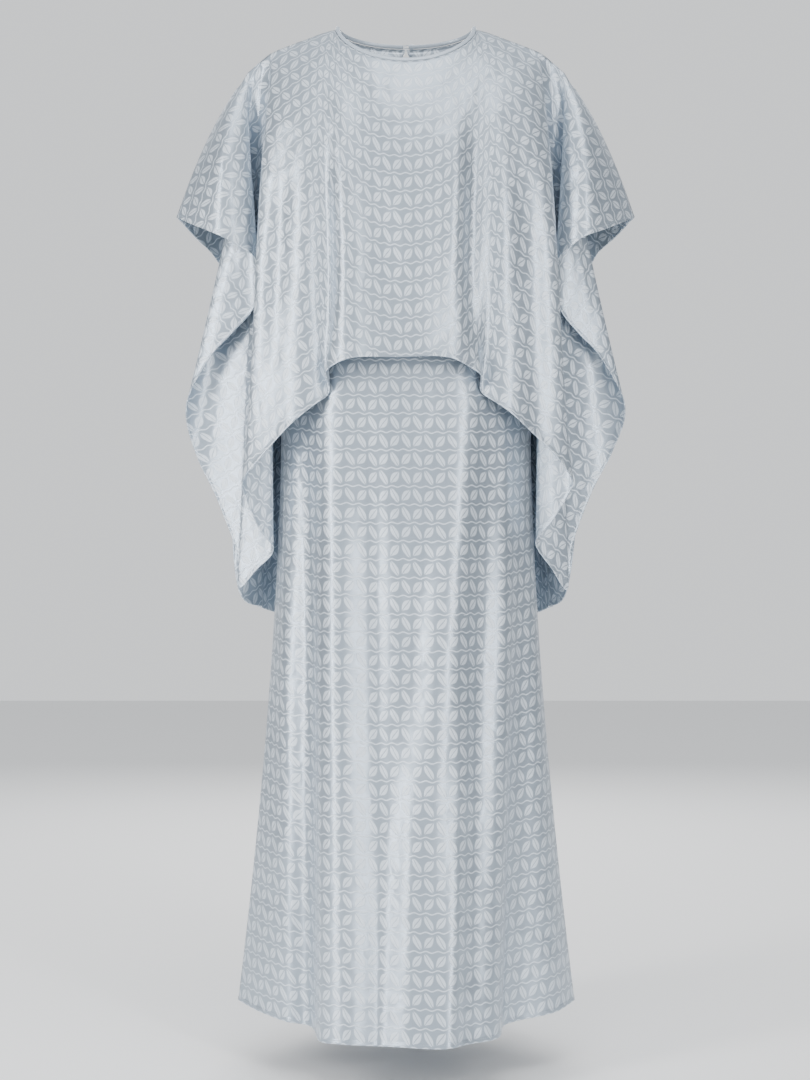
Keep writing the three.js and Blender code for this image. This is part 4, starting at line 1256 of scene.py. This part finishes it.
class BuildStitches(bpy.types.Operator):
    """Sew the hems and the neck"""

    bl_idname = "dress.build_stitches"
    bl_label = "Stitches"

    def execute(self, context):
        sizes = context.scene.dress_sizes
        thread = material("thread", plain_satin, context.scene.dress_colours.thread, 0.3)
        row = -1 - [distance for distance, _ in HEM_PROFILE][::-1].index(STITCH_FROM_EDGE)
        made = {}
        for name, outer in OUTER_FACES.items():
            side = FRONT if name.endswith("front") else BACK
            line = outer[:, row] + grid_normals(outer, side)[:, row] * STITCH_LIFT
            obj = stitched(name + "_hem_stitches", [line], sizes, thread)
            made[name] = piece(obj, [thread], [], name.split("_")[0] + "_satin")
        point, up, outward = frames_round_neck()
        low = SEAM_GAP + BINDING_MARGIN + NECK_STITCH_RISE
        line = point + up * low + outward * (BINDING_MARGIN + STITCH_LIFT)
        made["neck"] = piece(stitched("neck_stitches", [line[1:-1]], sizes, thread), [thread], [], "binding")
        self.declare(made)
        return {"FINISHED"}

    def declare(self, made):
        """Takes the pieces made and does nothing with them."""


class BuildStage(bpy.types.Operator):
    """Set the floor, the lights and the camera"""

    bl_idname = "dress.build_stage"
    bl_label = "Stage"

    def execute(self, context):
        scene = context.scene
        corners = [(x / MM, y / MM, FLOOR_Z / MM) for x, y in ((-6, -4), (6, -4), (6, 6), (-6, 6))]
        floor = mesh_object("floor", corners, [(0, 1, 2, 3)])
        shader = Shader("floor_paint")
        grain = shader.noise(60.0, 2.0)
        pale = list(scene.dress_colours.floor)
        tint = shader.mix(grain * 0.3, pale, darker(pale, 0.98))
        floor.data.materials.append(shader.finish(Base_Color=tint, Roughness=0.9 + grain * 0.05))
        self.lights(scene)
        self.camera(scene)
        return {"FINISHED"}

    def lights(self, scene):
        """Plain soft studio light: a surround that dims to the sides, and four soft panels."""
        world = bpy.data.worlds.new("studio")
        world.use_nodes = True
        tree = world.node_tree
        background = tree.nodes["Background"]
        background.inputs[0].default_value = (0.95, 0.975, 1.0, 1)
        parts = tree.nodes.new("ShaderNodeSeparateXYZ")
        across = tree.nodes.new("ShaderNodeMath")
        across.operation = "ABSOLUTE"
        strength = tree.nodes.new("ShaderNodeMapRange")
        strength.interpolation_type = "SMOOTHSTEP"
        for key, value in (("From Min", 0.35), ("From Max", 0.92), ("To Min", 1.05), ("To Max", 0.16)):
            strength.inputs[key].default_value = value
        tree.links.new(tree.nodes.new("ShaderNodeTexCoord").outputs["Generated"], parts.inputs[0])
        tree.links.new(parts.outputs[0], across.inputs[0])
        tree.links.new(across.outputs[0], strength.inputs["Value"])
        tree.links.new(strength.outputs[0], background.inputs[1])
        scene.world = world
        for name, place, size, power in LIGHTS:
            light = bpy.data.lights.new(name, "AREA")
            light.shape = "RECTANGLE"
            light.size, light.size_y = size
            light.energy = power
            obj = linked(name, light)
            obj.location = place
            aim = Vector(AIM) - Vector(place)
            obj.rotation_euler = aim.to_track_quat("-Z", "Y").to_euler()

    def camera(self, scene):
        """The camera at the photo's angle and framing."""
        data = bpy.data.cameras.new("camera")
        data.sensor_fit = "VERTICAL"
        data.sensor_height = 24
        data.lens = data.sensor_height * CAMERA_DISTANCE / (FRAME_HEIGHT * PIXEL)
        camera = linked("camera", data)
        place = Vector((CAMERA_X, -CAMERA_DISTANCE, CAMERA_Z)) * MM
        camera.matrix_world = Matrix.Translation(place) @ Matrix.Rotation(math.pi / 2, 4, "X")
        scene.camera = camera


class DressPanel(bpy.types.Panel):
    """The dress's sizes, colours and steps"""

    bl_idname = "VIEW3D_PT_dress"
    bl_label = "Kaftan dress"
    bl_space_type = "VIEW_3D"
    bl_region_type = "UI"
    bl_category = "Dress"

    def draw(self, context):
        for group in (context.scene.dress_sizes, context.scene.dress_colours):
            for key in group.__annotations__:
                self.layout.prop(group, key)
        for step in STEPS:
            self.layout.operator(step.bl_idname)


STEPS = (BuildCape, BuildDress, BuildTrim, BuildStitches, BuildStage)
CLASSES = (DressSizes, DressColours, *STEPS, DressPanel)


def register():
    """Registers the classes and hangs the sizes and colours on the scene."""
    for kind in CLASSES:
        bpy.utils.register_class(kind)
    bpy.types.Scene.dress_sizes = bpy.props.PointerProperty(type=DressSizes)
    bpy.types.Scene.dress_colours = bpy.props.PointerProperty(type=DressColours)


def unregister():
    """Takes back what register did."""
    del bpy.types.Scene.dress_colours
    del bpy.types.Scene.dress_sizes
    for kind in reversed(CLASSES):
        bpy.utils.unregister_class(kind)


def main():
    """Builds the stage and the dress."""
    register()
    bpy.ops.dress.build_stage()
    bpy.ops.dress.build_cape()
    bpy.ops.dress.build_dress()
    bpy.ops.dress.build_trim()
    bpy.ops.dress.build_stitches()


if __name__ == "__main__":
    main()
